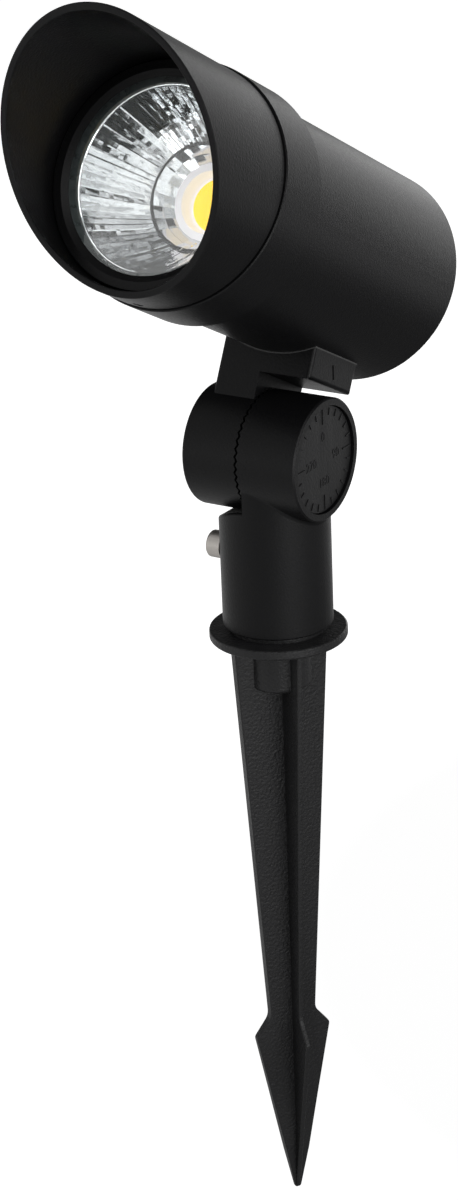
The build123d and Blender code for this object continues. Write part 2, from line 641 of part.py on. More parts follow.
# ---- Rear housing: closed cup with a shelf, screw bosses and a pad for the arm --------------
rear_floor = REAR_FACE + REAR_WALL
plate_screw_turns = [radians(90 + 360 * index / PLATE_SCREW_COUNT)
                     for index in range(PLATE_SCREW_COUNT)]
plate_screw_places = [(PLATE_SCREW_PLACE * cos(turn), PLATE_SCREW_PLACE * sin(turn))
                      for turn in plate_screw_turns]
holder_screw_places = [(0, HOLDER_SCREW_PLACE), (0, -HOLDER_SCREW_PLACE)]
bracket_screw_places = [(BRACKET_SCREW_PLACE, 0), (-BRACKET_SCREW_PLACE, 0)]

with BuildPart() as rear_housing:
    turned(lamp_section, lamp_axis, [
        (0, REAR_FACE),
        (BODY_RADIUS, REAR_FACE),
        (BODY_RADIUS, BODY_FRONT),
        (NECK_RADIUS, BODY_FRONT),
        (NECK_RADIUS, O_RING_PLACE - O_RING_THICKNESS / 2),
        (NECK_RADIUS - O_RING_GROOVE, O_RING_PLACE - O_RING_THICKNESS / 2),
        (NECK_RADIUS - O_RING_GROOVE, O_RING_PLACE + O_RING_THICKNESS / 2),
        (NECK_RADIUS, O_RING_PLACE + O_RING_THICKNESS / 2),
        (NECK_RADIUS, NECK_FRONT),
        (BODY_FRONT_BORE, NECK_FRONT),
        (BODY_FRONT_BORE, SHELF),
        (BODY_BORE, SHELF),
        (BODY_BORE, rear_floor),
        (0, rear_floor),
    ])
    fillet(round_edges(rear_housing, BODY_RADIUS).sort_by(lamp_axis)[0], REAR_EDGE)
    bars(lamp_plane(SHELF), plate_screw_places, PLATE_BOSS_RADIUS, -PLATE_BOSS_LENGTH)
    with BuildSketch(lamp_plane(-ARM_PAD_LENGTH / 2)):
        Circle(BODY_BORE + OVERCUT)
        with Locations((0, arm_screw_head)):
            Rectangle(2 * BODY_RADIUS, 2 * BODY_RADIUS, align=(Align.CENTER, Align.MIN),
                      mode=Mode.SUBTRACT)
    extrude(amount=ARM_PAD_LENGTH)
    bars(lamp_plane(SHELF), plate_screw_places, PLATE_SCREW_RADIUS + CLEARANCE,
         -PLATE_HOLE_DEPTH, mode=Mode.SUBTRACT)
    for place in arm_screw_places:
        bar(arm_screw_plane(place, arm_screw_head), ARM_SCREW_RADIUS + WIDE_PLAY,
            ARM_SCREW_LENGTH, mode=Mode.SUBTRACT)
        bar(arm_screw_plane(place, arm_screw_head), ARM_SCREW_HEAD_RADIUS + ARM_SCREW_HEAD_ROOM,
            -2 * ARM_SCREW_HEAD_HEIGHT, mode=Mode.SUBTRACT)
    bar(lamp_plane(REAR_FACE), GLAND_THREAD_RADIUS + CLEARANCE, REAR_WALL, mode=Mode.SUBTRACT)
rear_housing.part.label = "rear_housing"
export_step(rear_housing.part, "parts/rear_housing.step")

# ---- O-ring in the neck's groove ------------------------------------------------------------
with BuildPart() as body_o_ring:
    with BuildSketch(lamp_section):
        with Locations((NECK_RADIUS - O_RING_GROOVE + O_RING_THICKNESS / 2, O_RING_PLACE)):
            Circle(O_RING_THICKNESS / 2)
    revolve(axis=lamp_axis)
body_o_ring.part.label = "body_o_ring"
export_step(body_o_ring.part, "parts/body_o_ring.step")

# ---- Front ring: screws over the neck, carries the hood and holds the glass -----------------
grub_groove = [
    (NOSE_RADIUS, GRUB_PLACE - GRUB_GROOVE_WIDTH / 2),
    (NOSE_RADIUS - GRUB_GROOVE_DEPTH, GRUB_PLACE - GRUB_GROOVE_WIDTH / 2 + GRUB_GROOVE_DEPTH),
    (NOSE_RADIUS - GRUB_GROOVE_DEPTH, GRUB_PLACE + GRUB_GROOVE_WIDTH / 2 - GRUB_GROOVE_DEPTH),
    (NOSE_RADIUS, GRUB_PLACE + GRUB_GROOVE_WIDTH / 2),
]

with BuildPart() as front_ring:
    turned(lamp_section, lamp_axis, [
        (RING_REAR_BORE, BODY_FRONT),
        (RING_RADIUS - RING_EDGE, BODY_FRONT),
        (RING_RADIUS, BODY_FRONT + RING_EDGE),
        (RING_RADIUS, RING_FRONT - RING_EDGE),
        (RING_RADIUS - RING_EDGE, RING_FRONT),
        (HOOD_BORE - CLEARANCE, RING_FRONT),
        (HOOD_BORE - CLEARANCE, RING_SPIGOT_END),
        (NOSE_RADIUS, RING_SPIGOT_END),
        *grub_groove,
        (NOSE_RADIUS, NOSE_FACE - RING_EDGE),
        (NOSE_RADIUS - RING_EDGE, NOSE_FACE),
        (LIP_OUTER, NOSE_FACE),
        (LIP_INNER, GLASS_FRONT),
        (RING_BORE, GLASS_FRONT),
        (RING_BORE, RING_STEP),
        (RING_REAR_BORE, RING_STEP),
    ])
front_ring.part.label = "front_ring"
export_step(front_ring.part, "parts/front_ring.step")

# ---- Hood: thin tube cut off at a slant, long side up, turns on the ring's spigot -----------
rim_rise = HOOD_UPPER_LIP - HOOD_LOWER_LIP
rim_middle = lamp_foot + forward * ((HOOD_UPPER_LIP + HOOD_LOWER_LIP) / 2)
rim_plane = Plane(rim_middle, x_dir=across, z_dir=forward * (2 * HOOD_RADIUS) - upward * rim_rise)
grub_plane = Plane(lamp_foot + forward * GRUB_PLACE, x_dir=across, z_dir=upward * -1)

with BuildPart() as hood:
    turned(lamp_section, lamp_axis, [
        (HOOD_BORE, HOOD_REAR),
        (HOOD_RADIUS - RING_EDGE, HOOD_REAR),
        (HOOD_RADIUS, HOOD_REAR + RING_EDGE),
        (HOOD_RADIUS, HOOD_UPPER_LIP + OVERCUT),
        (HOOD_BORE, HOOD_UPPER_LIP + OVERCUT),
    ])
    split(bisect_by=rim_plane, keep=Keep.BOTTOM)
    fillet(hood.faces().sort_by(lamp_axis)[-1].edges(), RIM_EDGE)
    bar(grub_plane, GRUB_RADIUS + CLEARANCE, HOOD_RADIUS + OVERCUT, mode=Mode.SUBTRACT)
hood.part.label = "hood"
export_step(hood.part, "parts/hood.step")

with BuildPart() as hood_grub_screw:
    turned(stem_section, Axis.Z, [
        (0, GRUB_TIP),
        (GRUB_RADIUS - GRUB_TIP_EDGE, GRUB_TIP),
        (GRUB_RADIUS, GRUB_TIP + GRUB_TIP_EDGE),
        (GRUB_RADIUS, GRUB_END - GRUB_END_EDGE),
        (GRUB_RADIUS - GRUB_END_EDGE, GRUB_END),
        (0, GRUB_END),
    ])
    grub_socket_floor = Plane.XY.offset(GRUB_END - GRUB_SOCKET_DEPTH)
    hex_bar(grub_socket_floor, GRUB_SOCKET_FLATS, GRUB_SOCKET_DEPTH, mode=Mode.SUBTRACT)
hood_grub_screw.part.locate(grub_plane.location)
hood_grub_screw.part.label = "hood_grub_screw"
export_step(hood_grub_screw.part, "parts/hood_grub_screw.step")

# ---- Glass, its gasket and the reflector bowl -----------------------------------------------
glass_rear = GLASS_FRONT - GLASS_THICKNESS
flange_front = glass_rear - GASKET_HEIGHT
mouth = flange_front - REFLECTOR_FLANGE
plate_front = SHELF + PLATE_THICKNESS
board_front = plate_front + PAD_THICKNESS + BOARD_THICKNESS
holder_front = board_front + HOLDER_RIM

with BuildPart() as glass_lens:
    bar(lamp_plane(glass_rear), GLASS_RADIUS, GLASS_THICKNESS)
    chamfer(round_edges(glass_lens, GLASS_RADIUS), GLASS_EDGE)
glass_lens.part.label = "glass_lens"
export_step(glass_lens.part, "parts/glass_lens.step")

with BuildPart() as lens_gasket:
    bar(lamp_plane(flange_front), GLASS_RADIUS, GASKET_HEIGHT)
    bar(lamp_plane(flange_front), GASKET_INNER, GASKET_HEIGHT, mode=Mode.SUBTRACT)
lens_gasket.part.label = "lens_gasket"
export_step(lens_gasket.part, "parts/lens_gasket.step")

bowl_middle = (holder_front + mouth) / 2
bowl_middle_radius = sqrt((REFLECTOR_FOOT_RADIUS ** 2 + REFLECTOR_MOUTH_RADIUS ** 2) / 2)

with BuildPart() as reflector:
    with BuildSketch(lamp_section):
        with BuildLine():
            ThreePointArc(
                (REFLECTOR_FOOT_RADIUS, holder_front),
                (bowl_middle_radius, bowl_middle),
                (REFLECTOR_MOUTH_RADIUS, flange_front),
            )
            ThreePointArc(
                (REFLECTOR_FOOT_RADIUS + REFLECTOR_WALL, holder_front),
                (bowl_middle_radius + REFLECTOR_WALL, bowl_middle),
                (REFLECTOR_MOUTH_RADIUS + REFLECTOR_WALL, mouth),
            )
            Polyline(
                (REFLECTOR_MOUTH_RADIUS + REFLECTOR_WALL, mouth),
                (REFLECTOR_FLANGE_RADIUS, mouth),
                (REFLECTOR_FLANGE_RADIUS, flange_front),
                (REFLECTOR_MOUTH_RADIUS, flange_front),
            )
            Line((REFLECTOR_FOOT_RADIUS, holder_front),
                 (REFLECTOR_FOOT_RADIUS + REFLECTOR_WALL, holder_front))
        make_face()
    revolve(axis=lamp_axis)
reflector.part.label = "reflector"
export_step(reflector.part, "parts/reflector.step")

# ---- Light source: round plate, pad, board with its emitter, and the white holder -----------
with BuildPart() as mount_plate:
    bar(lamp_plane(SHELF), PLATE_RADIUS, PLATE_THICKNESS)
    with BuildSketch(lamp_plane(SHELF)):
        with Locations(*plate_screw_places):
            Circle(PLATE_SCREW_RADIUS + SCREW_PLAY)
        with Locations(*holder_screw_places):
            Circle(SMALL_SCREW_RADIUS + CLEARANCE)
        with Locations(*bracket_screw_places):
            Circle(SMALL_SCREW_RADIUS + SCREW_PLAY)
        with Locations((0, LEAD_HOLE_PLACE)):
            SlotOverall(LEAD_SLOT_LENGTH, LEAD_SLOT_WIDTH)
    extrude(amount=PLATE_THICKNESS, mode=Mode.SUBTRACT)
    chamfer(round_edges(mount_plate, PLATE_RADIUS), PLATE_EDGE)
mount_plate.part.label = "mount_plate"
export_step(mount_plate.part, "parts/mount_plate.step")

with BuildPart() as plate_screws:
    plate_face = lamp_plane(plate_front)
    bars(plate_face, plate_screw_places, PLATE_SCREW_RADIUS, -PLATE_THICKNESS - PLATE_SCREW_LENGTH)
    bars(plate_face, plate_screw_places, PLATE_SCREW_HEAD_RADIUS, PLATE_SCREW_HEAD_HEIGHT)
    fillet(plate_screws.faces().sort_by(lamp_axis)[-PLATE_SCREW_COUNT:].edges(),
           PLATE_SCREW_HEAD_EDGE)
plate_screws.part.label = "plate_screws"
export_step(plate_screws.part, "parts/plate_screws.step")

with BuildPart() as thermal_pad:
    with BuildSketch(lamp_plane(plate_front)):
        Rectangle(BOARD_SIDE, BOARD_SIDE)
    extrude(amount=PAD_THICKNESS)
thermal_pad.part.label = "thermal_pad"
export_step(thermal_pad.part, "parts/thermal_pad.step")

with BuildPart() as led_board:
    with BuildSketch(lamp_plane(plate_front + PAD_THICKNESS)):
        Rectangle(BOARD_SIDE, BOARD_SIDE)
    extrude(amount=BOARD_THICKNESS)
led_board.part.label = "led_board"
export_step(led_board.part, "parts/led_board.step")

with BuildPart() as led_emitter:
    bar(lamp_plane(board_front), EMITTER_RADIUS, EMITTER_HEIGHT)
    fillet(round_edges(led_emitter, EMITTER_RADIUS).sort_by(lamp_axis)[-1], EMITTER_EDGE)
led_emitter.part.label = "led_emitter"
export_step(led_emitter.part, "parts/led_emitter.step")

with BuildPart() as led_dam_ring:
    bar(lamp_plane(board_front), DAM_RADIUS, EMITTER_HEIGHT)
    bar(lamp_plane(board_front), EMITTER_RADIUS + CLEARANCE, EMITTER_HEIGHT, mode=Mode.SUBTRACT)
led_dam_ring.part.label = "led_dam_ring"
export_step(led_dam_ring.part, "parts/led_dam_ring.step")

with BuildPart() as led_holder:
    turned(lamp_section, lamp_axis, [
        (0, plate_front),
        (HOLDER_RADIUS, plate_front),
        (HOLDER_RADIUS, holder_front - HOLDER_EDGE),
        (HOLDER_RADIUS - HOLDER_EDGE, holder_front),
        (HOLDER_MOUTH, holder_front),
        (HOLDER_OPENING, board_front),
        (0, board_front),
    ])
    with BuildSketch(lamp_plane(plate_front)):
        Rectangle(BOARD_SIDE + 2 * BOARD_POCKET_PLAY, BOARD_SIDE + 2 * BOARD_POCKET_PLAY)
    extrude(amount=board_front - plate_front, mode=Mode.SUBTRACT)
    bars(lamp_plane(plate_front), holder_screw_places, SMALL_SCREW_RADIUS + SCREW_PLAY,
         holder_front - plate_front, mode=Mode.SUBTRACT)
    bars(lamp_plane(holder_front), holder_screw_places,
         HOLDER_SCREW_HEAD_RADIUS + HOLDER_SCREW_HEAD_PLAY, -HOLDER_SCREW_HEAD_HEIGHT,
         mode=Mode.SUBTRACT)
led_holder.part.label = "led_holder"
export_step(led_holder.part, "parts/led_holder.step")

with BuildPart() as holder_screws:
    holder_face = lamp_plane(holder_front)
    bars(holder_face, holder_screw_places, SMALL_SCREW_RADIUS,
         SHELF + HOLDER_SCREW_END - holder_front)
    bars(holder_face, holder_screw_places, HOLDER_SCREW_HEAD_RADIUS, -HOLDER_SCREW_HEAD_HEIGHT)
holder_screws.part.label = "holder_screws"
export_step(holder_screws.part, "parts/holder_screws.step")

# ---- Driver in its strap bracket, behind the plate ------------------------------------------
with BuildPart() as led_driver:
    with BuildSketch(lamp_plane(DRIVER_REAR)):
        RectangleRounded(DRIVER_WIDTH, DRIVER_HEIGHT, DRIVER_CORNER)
    extrude(amount=DRIVER_FRONT - DRIVER_REAR)
    chamfer(led_driver.faces().sort_by(lamp_axis)[-1].edges(), DRIVER_EDGE)
led_driver.part.label = "led_driver"
export_step(led_driver.part, "parts/led_driver.step")

bracket_reach = DRIVER_WIDTH / 2 + BRACKET_SHEET

with BuildPart() as driver_bracket:
    with BuildSketch(lamp_section):
        with BuildLine():
            strap_line = FilletPolyline(
                (-bracket_reach + BRACKET_SHEET / 2, BRACKET_REAR),
                (-bracket_reach + BRACKET_SHEET / 2, SHELF - BRACKET_SHEET / 2),
                (bracket_reach - BRACKET_SHEET / 2, SHELF - BRACKET_SHEET / 2),
                (bracket_reach - BRACKET_SHEET / 2, BRACKET_REAR),
                radius=BRACKET_BEND,
            )
            offset(strap_line, amount=BRACKET_SHEET / 2, side=Side.BOTH)
        make_face()
    extrude(amount=BRACKET_WIDTH / 2, both=True)
    bars(lamp_plane(SHELF), bracket_screw_places, SMALL_SCREW_RADIUS + CLEARANCE,
         -BRACKET_SHEET, mode=Mode.SUBTRACT)
driver_bracket.part.label = "driver_bracket"
export_step(driver_bracket.part, "parts/driver_bracket.step")

with BuildPart() as bracket_screws:
    bars(plate_face, bracket_screw_places, SMALL_SCREW_RADIUS,
         -PLATE_THICKNESS - BRACKET_SHEET - BRACKET_SCREW_END)
    bars(plate_face, bracket_screw_places, BRACKET_SCREW_HEAD_RADIUS, BRACKET_SCREW_HEAD_HEIGHT)
bracket_screws.part.label = "bracket_screws"
export_step(bracket_screws.part, "parts/bracket_screws.step")

# ---- Two insulated leads from the driver through the plate to the holder --------------------
lead_level = (plate_front + holder_front) / 2

with BuildPart() as led_leads:
    for side in (-LEAD_SPACING / 2, LEAD_SPACING / 2):
        lead_side = Plane(lamp_foot + across * side, x_dir=upward, z_dir=across)
        with BuildLine(lead_side) as lead_route:
            FilletPolyline(
                (LEAD_START, DRIVER_FRONT),
                (LEAD_START, DRIVER_FRONT + LEAD_STRAIGHT),
                (LEAD_HOLE_PLACE, SHELF - LEAD_APPROACH),
                (LEAD_HOLE_PLACE, lead_level),
                (-HOLDER_RADIUS, lead_level),
                radius=(LEAD_BEND, LEAD_BEND, LEAD_LAST_BEND),
            )
        with BuildSketch(Plane(lead_route.line @ 0, z_dir=lead_route.line % 0)) as lead_end:
            Circle(LEAD_RADIUS)
        sweep(lead_end.sketch, path=lead_route.line)
led_leads.part.label = "led_leads"
export_step(led_leads.part, "parts/led_leads.step")

# ---- Cable gland in the rear wall: hex body, rubber seal and domed nut ----------------------
gland_shoulder = REAR_FACE - GLAND_HEX
gland_tail = gland_shoulder - GLAND_TAIL
gland_mouth = gland_tail - GLAND_MOUTH
seal_front = REAR_FACE - GLAND_SEAL_DEPTH

with BuildPart() as gland_body:
    hex_bar(lamp_plane(REAR_FACE), GLAND_FLATS, -GLAND_HEX)
    bar(lamp_plane(REAR_FACE), GLAND_THREAD_RADIUS, GLAND_INSIDE)
    bar(lamp_plane(gland_shoulder), GLAND_THREAD_RADIUS, -GLAND_TAIL)
    bar(lamp_plane(gland_tail), GLAND_SEAL_RADIUS, seal_front - gland_tail, mode=Mode.SUBTRACT)
    bar(lamp_plane(gland_tail), CABLE_RADIUS + WIDE_PLAY, -2 * gland_tail, mode=Mode.SUBTRACT)
gland_body.part.label = "gland_body"
export_step(gland_body.part, "parts/gland_body.step")

with BuildPart() as gland_seal:
    bar(lamp_plane(gland_tail), GLAND_SEAL_RADIUS - CLEARANCE, seal_front - gland_tail)
    bar(lamp_plane(gland_tail), CABLE_RADIUS, seal_front - gland_tail, mode=Mode.SUBTRACT)
gland_seal.part.label = "gland_seal"
export_step(gland_seal.part, "parts/gland_seal.step")

with BuildPart() as gland_nut:
    hex_bar(lamp_plane(gland_shoulder - GLAND_GAP), GLAND_FLATS, -GLAND_NUT_HEX)
    dome_start = gland_shoulder - GLAND_GAP - GLAND_NUT_HEX
    with BuildSketch(lamp_section):
        with BuildLine():
            Line((0, gland_mouth), (GLAND_MOUTH_RADIUS, gland_mouth))
            TangentArc((GLAND_MOUTH_RADIUS, gland_mouth), (GLAND_FLATS / 2 - GLAND_DOME_EDGE, dome_start),
                       tangent=(1, 0))
            Line((GLAND_FLATS / 2 - GLAND_DOME_EDGE, dome_start), (0, dome_start))
            Line((0, dome_start), (0, gland_mouth))
        make_face()
    revolve(axis=lamp_axis)
    bar(lamp_plane(gland_tail), GLAND_THREAD_RADIUS + CLEARANCE, -gland_tail, mode=Mode.SUBTRACT)
    bar(lamp_plane(gland_mouth), CABLE_RADIUS, GLAND_MOUTH, mode=Mode.SUBTRACT)
gland_nut.part.label = "gland_nut"
export_step(gland_nut.part, "parts/gland_nut.step")
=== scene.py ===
"""Dresses the garden spike spotlight: its castings, mouldings and optics, and the studio.

Everything is in metres in the part's own frame. The lamp's own directions come from the frame's
joints: the head tilts about the knuckle's pin, and the hood turns about the lamp's axis.
"""

import json
import logging
from dataclasses import dataclass
from enum import Enum
from typing import Any, Dict, Optional, Sequence, Tuple

import bpy
import numpy as np
from mathutils import Matrix, Vector

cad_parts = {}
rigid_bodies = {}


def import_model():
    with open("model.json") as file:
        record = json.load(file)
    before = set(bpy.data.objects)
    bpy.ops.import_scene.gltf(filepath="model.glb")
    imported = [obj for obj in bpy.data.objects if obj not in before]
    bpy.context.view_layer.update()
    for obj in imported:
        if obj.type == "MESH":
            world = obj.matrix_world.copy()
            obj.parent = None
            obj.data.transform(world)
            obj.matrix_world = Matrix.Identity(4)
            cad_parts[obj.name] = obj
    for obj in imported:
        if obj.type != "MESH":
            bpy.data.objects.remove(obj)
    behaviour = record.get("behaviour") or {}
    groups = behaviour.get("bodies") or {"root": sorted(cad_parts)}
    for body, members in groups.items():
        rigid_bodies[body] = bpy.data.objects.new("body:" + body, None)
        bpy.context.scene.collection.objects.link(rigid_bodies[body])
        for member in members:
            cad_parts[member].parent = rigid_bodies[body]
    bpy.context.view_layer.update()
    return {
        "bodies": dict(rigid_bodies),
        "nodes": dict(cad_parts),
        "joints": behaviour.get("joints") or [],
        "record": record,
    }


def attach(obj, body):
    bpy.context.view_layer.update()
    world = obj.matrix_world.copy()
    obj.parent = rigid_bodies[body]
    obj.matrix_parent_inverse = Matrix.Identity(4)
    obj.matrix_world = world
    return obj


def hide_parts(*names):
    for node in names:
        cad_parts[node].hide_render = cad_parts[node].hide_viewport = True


logging.basicConfig(level=logging.INFO, format="%(message)s")
log = logging.getLogger("spotlight")

MILLIMETRE = 0.001
FLOOR_GAP = 0.5 * MILLIMETRE  # between the spike's point and the floor
Array = np.ndarray
Colour = Tuple[float, float, float]


class Body(str, Enum):
    """The rigid bodies that new pieces ride on."""

    STEM = "stem"
    HEAD = "head"


class Slot(str, Enum):
    """The record's material slots that the new pieces' finishes belong to."""

    REFLECTOR = "reflector_metal"
    PHOSPHOR = "phosphor"
    DIAL = "dial_plastic"


# ---- Geometry ---------------------------------------------------------------------------------
@dataclass(frozen=True)
class Seat:
    """A local frame: a point and three unit directions, in the part's frame.

    Attributes:
        origin: the point.
        side: the first direction.
        up: the second direction.
        along: the third direction, the axis of what sits here.
    """

    origin: Array
    side: Array
    up: Array
    along: Array

    def axes(self) -> Array:
        """The three directions, one row each."""
        return np.stack([self.side, self.up, self.along])

    def place(self, local: Array) -> Array:
        """Points given as (side, up, along) lengths, moved into the part's frame."""
        return self.origin + local @ self.axes()

    def measure(self, points: Array) -> Array:
        """Points of the part's frame as (side, up, along) lengths."""
        return (points - self.origin) @ self.axes().T

    def matrix(self) -> Matrix:
        """The seat as a matrix that takes local X, Y and Z to its directions.

        Returns:
            The 4 x 4 matrix.
        """
        rows = np.eye(4)
        rows[:3, :3], rows[:3, 3] = self.axes().T, self.origin
        return Matrix(rows.tolist())


def unit(vector: Sequence[float]) -> Array:
    """A direction of length one."""
    array = np.asarray(vector, float)
    return array / np.linalg.norm(array)


def seat_on(origin: Sequence[float], along: Sequence[float], side: Sequence[float]) -> Seat:
    """A right-handed seat from its point, its axis and its first direction.

    Args:
        origin: the seat's point.
        along: its axis.
        side: a direction square to the axis.

    Returns:
        The seat, whose up is the axis crossed with the side.
    """
    axis = unit(along)
    first = unit(side)
    return Seat(np.asarray(origin, float), first, np.cross(axis, first), axis)


def node_points(frame: Dict[str, Any], node: str) -> Array:
    """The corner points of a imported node.

    Args:
        node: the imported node's name.

    Returns:
        The points, one row each.
    """
    mesh = frame["nodes"][node].data
    points = np.empty(len(mesh.vertices) * 3, np.float32)
    mesh.vertices.foreach_get("co", points)
    return points.reshape(-1, 3).astype(float)


def node_span(frame: Dict[str, Any], node: str, seat: Seat) -> Tuple[float, float, float]:
    """How far a node reaches about a seat's axis.

    Args:
        node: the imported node's name.
        seat: the seat whose axis the node turns about.

    Returns:
        Its largest radius, and its lowest and highest place along the axis.
    """
    local = seat.measure(node_points(frame, node))
    radius = np.hypot(local[:, 0], local[:, 1]).max()
    return float(radius), float(local[:, 2].min()), float(local[:, 2].max())


def new_object(name: str, points: Array, faces: Array, smooth: bool) -> bpy.types.Object:
    """A mesh object from whole arrays.

    Args:
        name: the piece's name.
        points: corner points, one row each.
        faces: corner numbers, one row of four for each face.
        smooth: whether its faces shade smoothly.

    Returns:
        The object, linked to the scene and standing at the origin.
    """
    mesh = bpy.data.meshes.new(name)
    mesh.vertices.add(len(points))
    mesh.vertices.foreach_set("co", points.astype(np.float32).ravel())
    corners = faces.shape[1]
    mesh.loops.add(faces.size)
    mesh.loops.foreach_set("vertex_index", faces.astype(np.int32).ravel())
    mesh.polygons.add(len(faces))
    mesh.polygons.foreach_set("loop_start", np.arange(0, faces.size, corners, dtype=np.int32))
    mesh.polygons.foreach_set("use_smooth", np.full(len(faces), smooth))
    mesh.update(calc_edges=True)
    mesh.validate()
    piece = bpy.data.objects.new(name, mesh)
    bpy.context.scene.collection.objects.link(piece)
    return piece


def grid_faces(rows: int, columns: int) -> Array:
    """The quads of a grid of points, numbered row by row, that closes both ways.

    Quad (i, j) joins points j and j + 1 of row i to those of row i + 1. The last row joins the
    first, and each row's last point joins its first.

    Args:
        rows: how many rows of points there are.
        columns: how many points a row has.

    Returns:
        Four corner numbers for each quad.
    """
    row, column = np.indices((rows, columns)).reshape(2, -1)
    below, right = (row + 1) % rows, (column + 1) % columns
    return np.stack([row * columns + column, row * columns + right,
                     below * columns + right, below * columns + column], -1)


def turned(profile: Array, segments: int) -> Array:
    """Points of an outline turned about the third direction.

    Each point (radius, along) of the outline goes to
    (radius cos t, radius sin t, along) as t runs round the circle.

    Args:
        profile: outline points as (radius, along), anticlockwise with the solid on the left.
        segments: how many steps the circle has.

    Returns:
        The points, one row each, turn by turn.
    """
    turn = np.linspace(0, 2 * np.pi, segments, endpoint=False)[:, None]
    radius, along = profile[None, :, 0], profile[None, :, 1]
    return np.stack([radius * np.cos(turn), radius * np.sin(turn), along + 0 * turn],
                    -1).reshape(-1, 3)


# ---- Finishes ---------------------------------------------------------------------------------
class Nodes:
    """A material's node tree, built a node at a time."""

    def __init__(self, name: str) -> None:
        """Makes an empty material.

        Args:
            name: the material's name.
        """
        self.material = bpy.data.materials.new(name)
        self.material.use_nodes = True
        self.tree = self.material.node_tree
        self.tree.nodes.clear()
        self.output = self.tree.nodes.new("ShaderNodeOutputMaterial")

    def add(self, kind: str, **inputs: Any) -> bpy.types.Node:
        """Adds a node and fills its sockets.

        Args:
            kind: the node's type.
            inputs: a socket's value, or the output that feeds it, by the socket's name with
                underscores for spaces. A name that starts with set_ sets the node's property.

        Returns:
            The node.
        """
        node = self.tree.nodes.new(kind)
        for key, value in inputs.items():
            if key.startswith("set_"):
                setattr(node, key.removeprefix("set_"), value)
                continue
            socket = node.inputs[key.replace("_", " ")]
            if isinstance(value, bpy.types.NodeSocket):
                self.tree.links.new(value, socket)
            else:
                socket.default_value = value
        return node

    def grain(self, size: float, detail: float = 2.0, **place: Any) -> bpy.types.NodeSocket:
        """Noise on the piece's own coordinates.

        Args:
            size: how far apart its grains stand, in metres.
            detail: how many finer layers it has.
            place: what a Mapping node takes to centre, turn or stretch it.

        Returns:
            The noise's height, from 0 to 1.
        """
        where = self.add("ShaderNodeTexCoord").outputs["Object"]
        if place:
            where = self.add("ShaderNodeMapping", Vector=where, **place).outputs[0]
        return self.add("ShaderNodeTexNoise", Vector=where, Scale=1 / size,
                        Detail=detail).outputs[0]

    def ramp(self, fac: bpy.types.NodeSocket, low: float, high: float,
             start: float = 0.3, end: float = 0.7) -> bpy.types.NodeSocket:
        """A number that goes from low to high as fac goes from start to end."""
        return self.add("ShaderNodeMapRange", Value=fac, From_Min=start, From_Max=end,
                        To_Min=low, To_Max=high).outputs[0]

    def mottled(self, fac: bpy.types.NodeSocket, dark: Colour,
                light: Colour) -> bpy.types.NodeSocket:
        """A colour between two.

        Args:
            fac: the share of the light colour, from 0 to 1.
            dark: the colour at 0.
            light: the colour at 1.

        Returns:
            The colour.
        """
        mix = self.add("ShaderNodeMix", set_data_type="RGBA")
        self.tree.links.new(fac, mix.inputs["Factor"])
        first, second, mixed = mix.inputs[6], mix.inputs[7], mix.outputs[2]  # for colours
        first.default_value, second.default_value = (*dark, 1), (*light, 1)
        return mixed

    def bump(self, height: bpy.types.NodeSocket, depth: float,
             normal: Optional[bpy.types.NodeSocket] = None) -> bpy.types.NodeSocket:
        """A bumped normal.

        Args:
            height: the height, from 0 to 1.
            depth: how deep 1 is, in metres.
            normal: a normal already bumped, to bump again.

        Returns:
            The normal.
        """
        node = self.add("ShaderNodeBump", Height=height, Distance=depth, Strength=1.0)
        if normal is not None:
            self.tree.links.new(normal, node.inputs["Normal"])
        return node.outputs[0]

    def math(self, operation: str, first: bpy.types.NodeSocket,
             second: bpy.types.NodeSocket) -> bpy.types.NodeSocket:
        """Two numbers brought together.

        Args:
            operation: the Math node's operation.
            first: the first number.
            second: the second number.

        Returns:
            The result.
        """
        node = self.add("ShaderNodeMath", set_operation=operation)
        self.tree.links.new(first, node.inputs[0])
        self.tree.links.new(second, node.inputs[1])
        return node.outputs[0]

    def near(self, where: bpy.types.NodeSocket, middle: Sequence[float], start: float,
             end: float, inside: float, outside: float) -> bpy.types.NodeSocket:
        """A number that changes with the distance from a point.

        Args:
            where: the coordinates.
            middle: the point.
            start: the distance up to which the number is inside.
            end: the distance from which it is outside.
            inside: the number at the point.
            outside: the number far away.

        Returns:
            The number.
        """
        distance = self.add("ShaderNodeVectorMath", set_operation="DISTANCE")
        self.tree.links.new(where, distance.inputs[0])
        distance.inputs[1].default_value = middle
        return self.ramp(distance.outputs["Value"], inside, outside, start, end)

    def principled(self, **inputs: Any) -> bpy.types.Material:
        """Ends the tree in a Principled shader.

        Args:
            inputs: the shader's sockets, as add takes them.

        Returns:
            The material.
        """
        shader = self.add("ShaderNodeBsdfPrincipled", **inputs)
        self.tree.links.new(shader.outputs[0], self.output.inputs["Surface"])
        return self.material


@dataclass(frozen=True)
class PowderCoat:
    """Fine satin powder coat on a casting: a close orange peel with finer grains in it."""

    name: str = "black_powder_coat"
    dark: Colour = (0.0022, 0.0022, 0.0024)
    light: Colour = (0.0036, 0.0036, 0.0039)
    roughness: Tuple[float, float] = (0.36, 0.44)
    specular: float = 0.1
    peel_size: float = 1.1 * MILLIMETRE
    peel_depth: float = 0.006 * MILLIMETRE
    grain_size: float = 0.65 * MILLIMETRE
    grain_depth: float = 0.07 * MILLIMETRE

    def material(self) -> bpy.types.Material:
        """Builds the finish.

        Returns:
            The material.
        """
        nodes = Nodes(self.name)
        peel = nodes.grain(self.peel_size)
        grain = nodes.grain(self.grain_size, 3.0)
        normal = nodes.bump(grain, self.grain_depth, nodes.bump(peel, self.peel_depth))
        return nodes.principled(
            Base_Color=nodes.mottled(grain, self.dark, self.light),
            Roughness=nodes.ramp(grain, *self.roughness),
            Specular_IOR_Level=self.specular, Normal=normal)


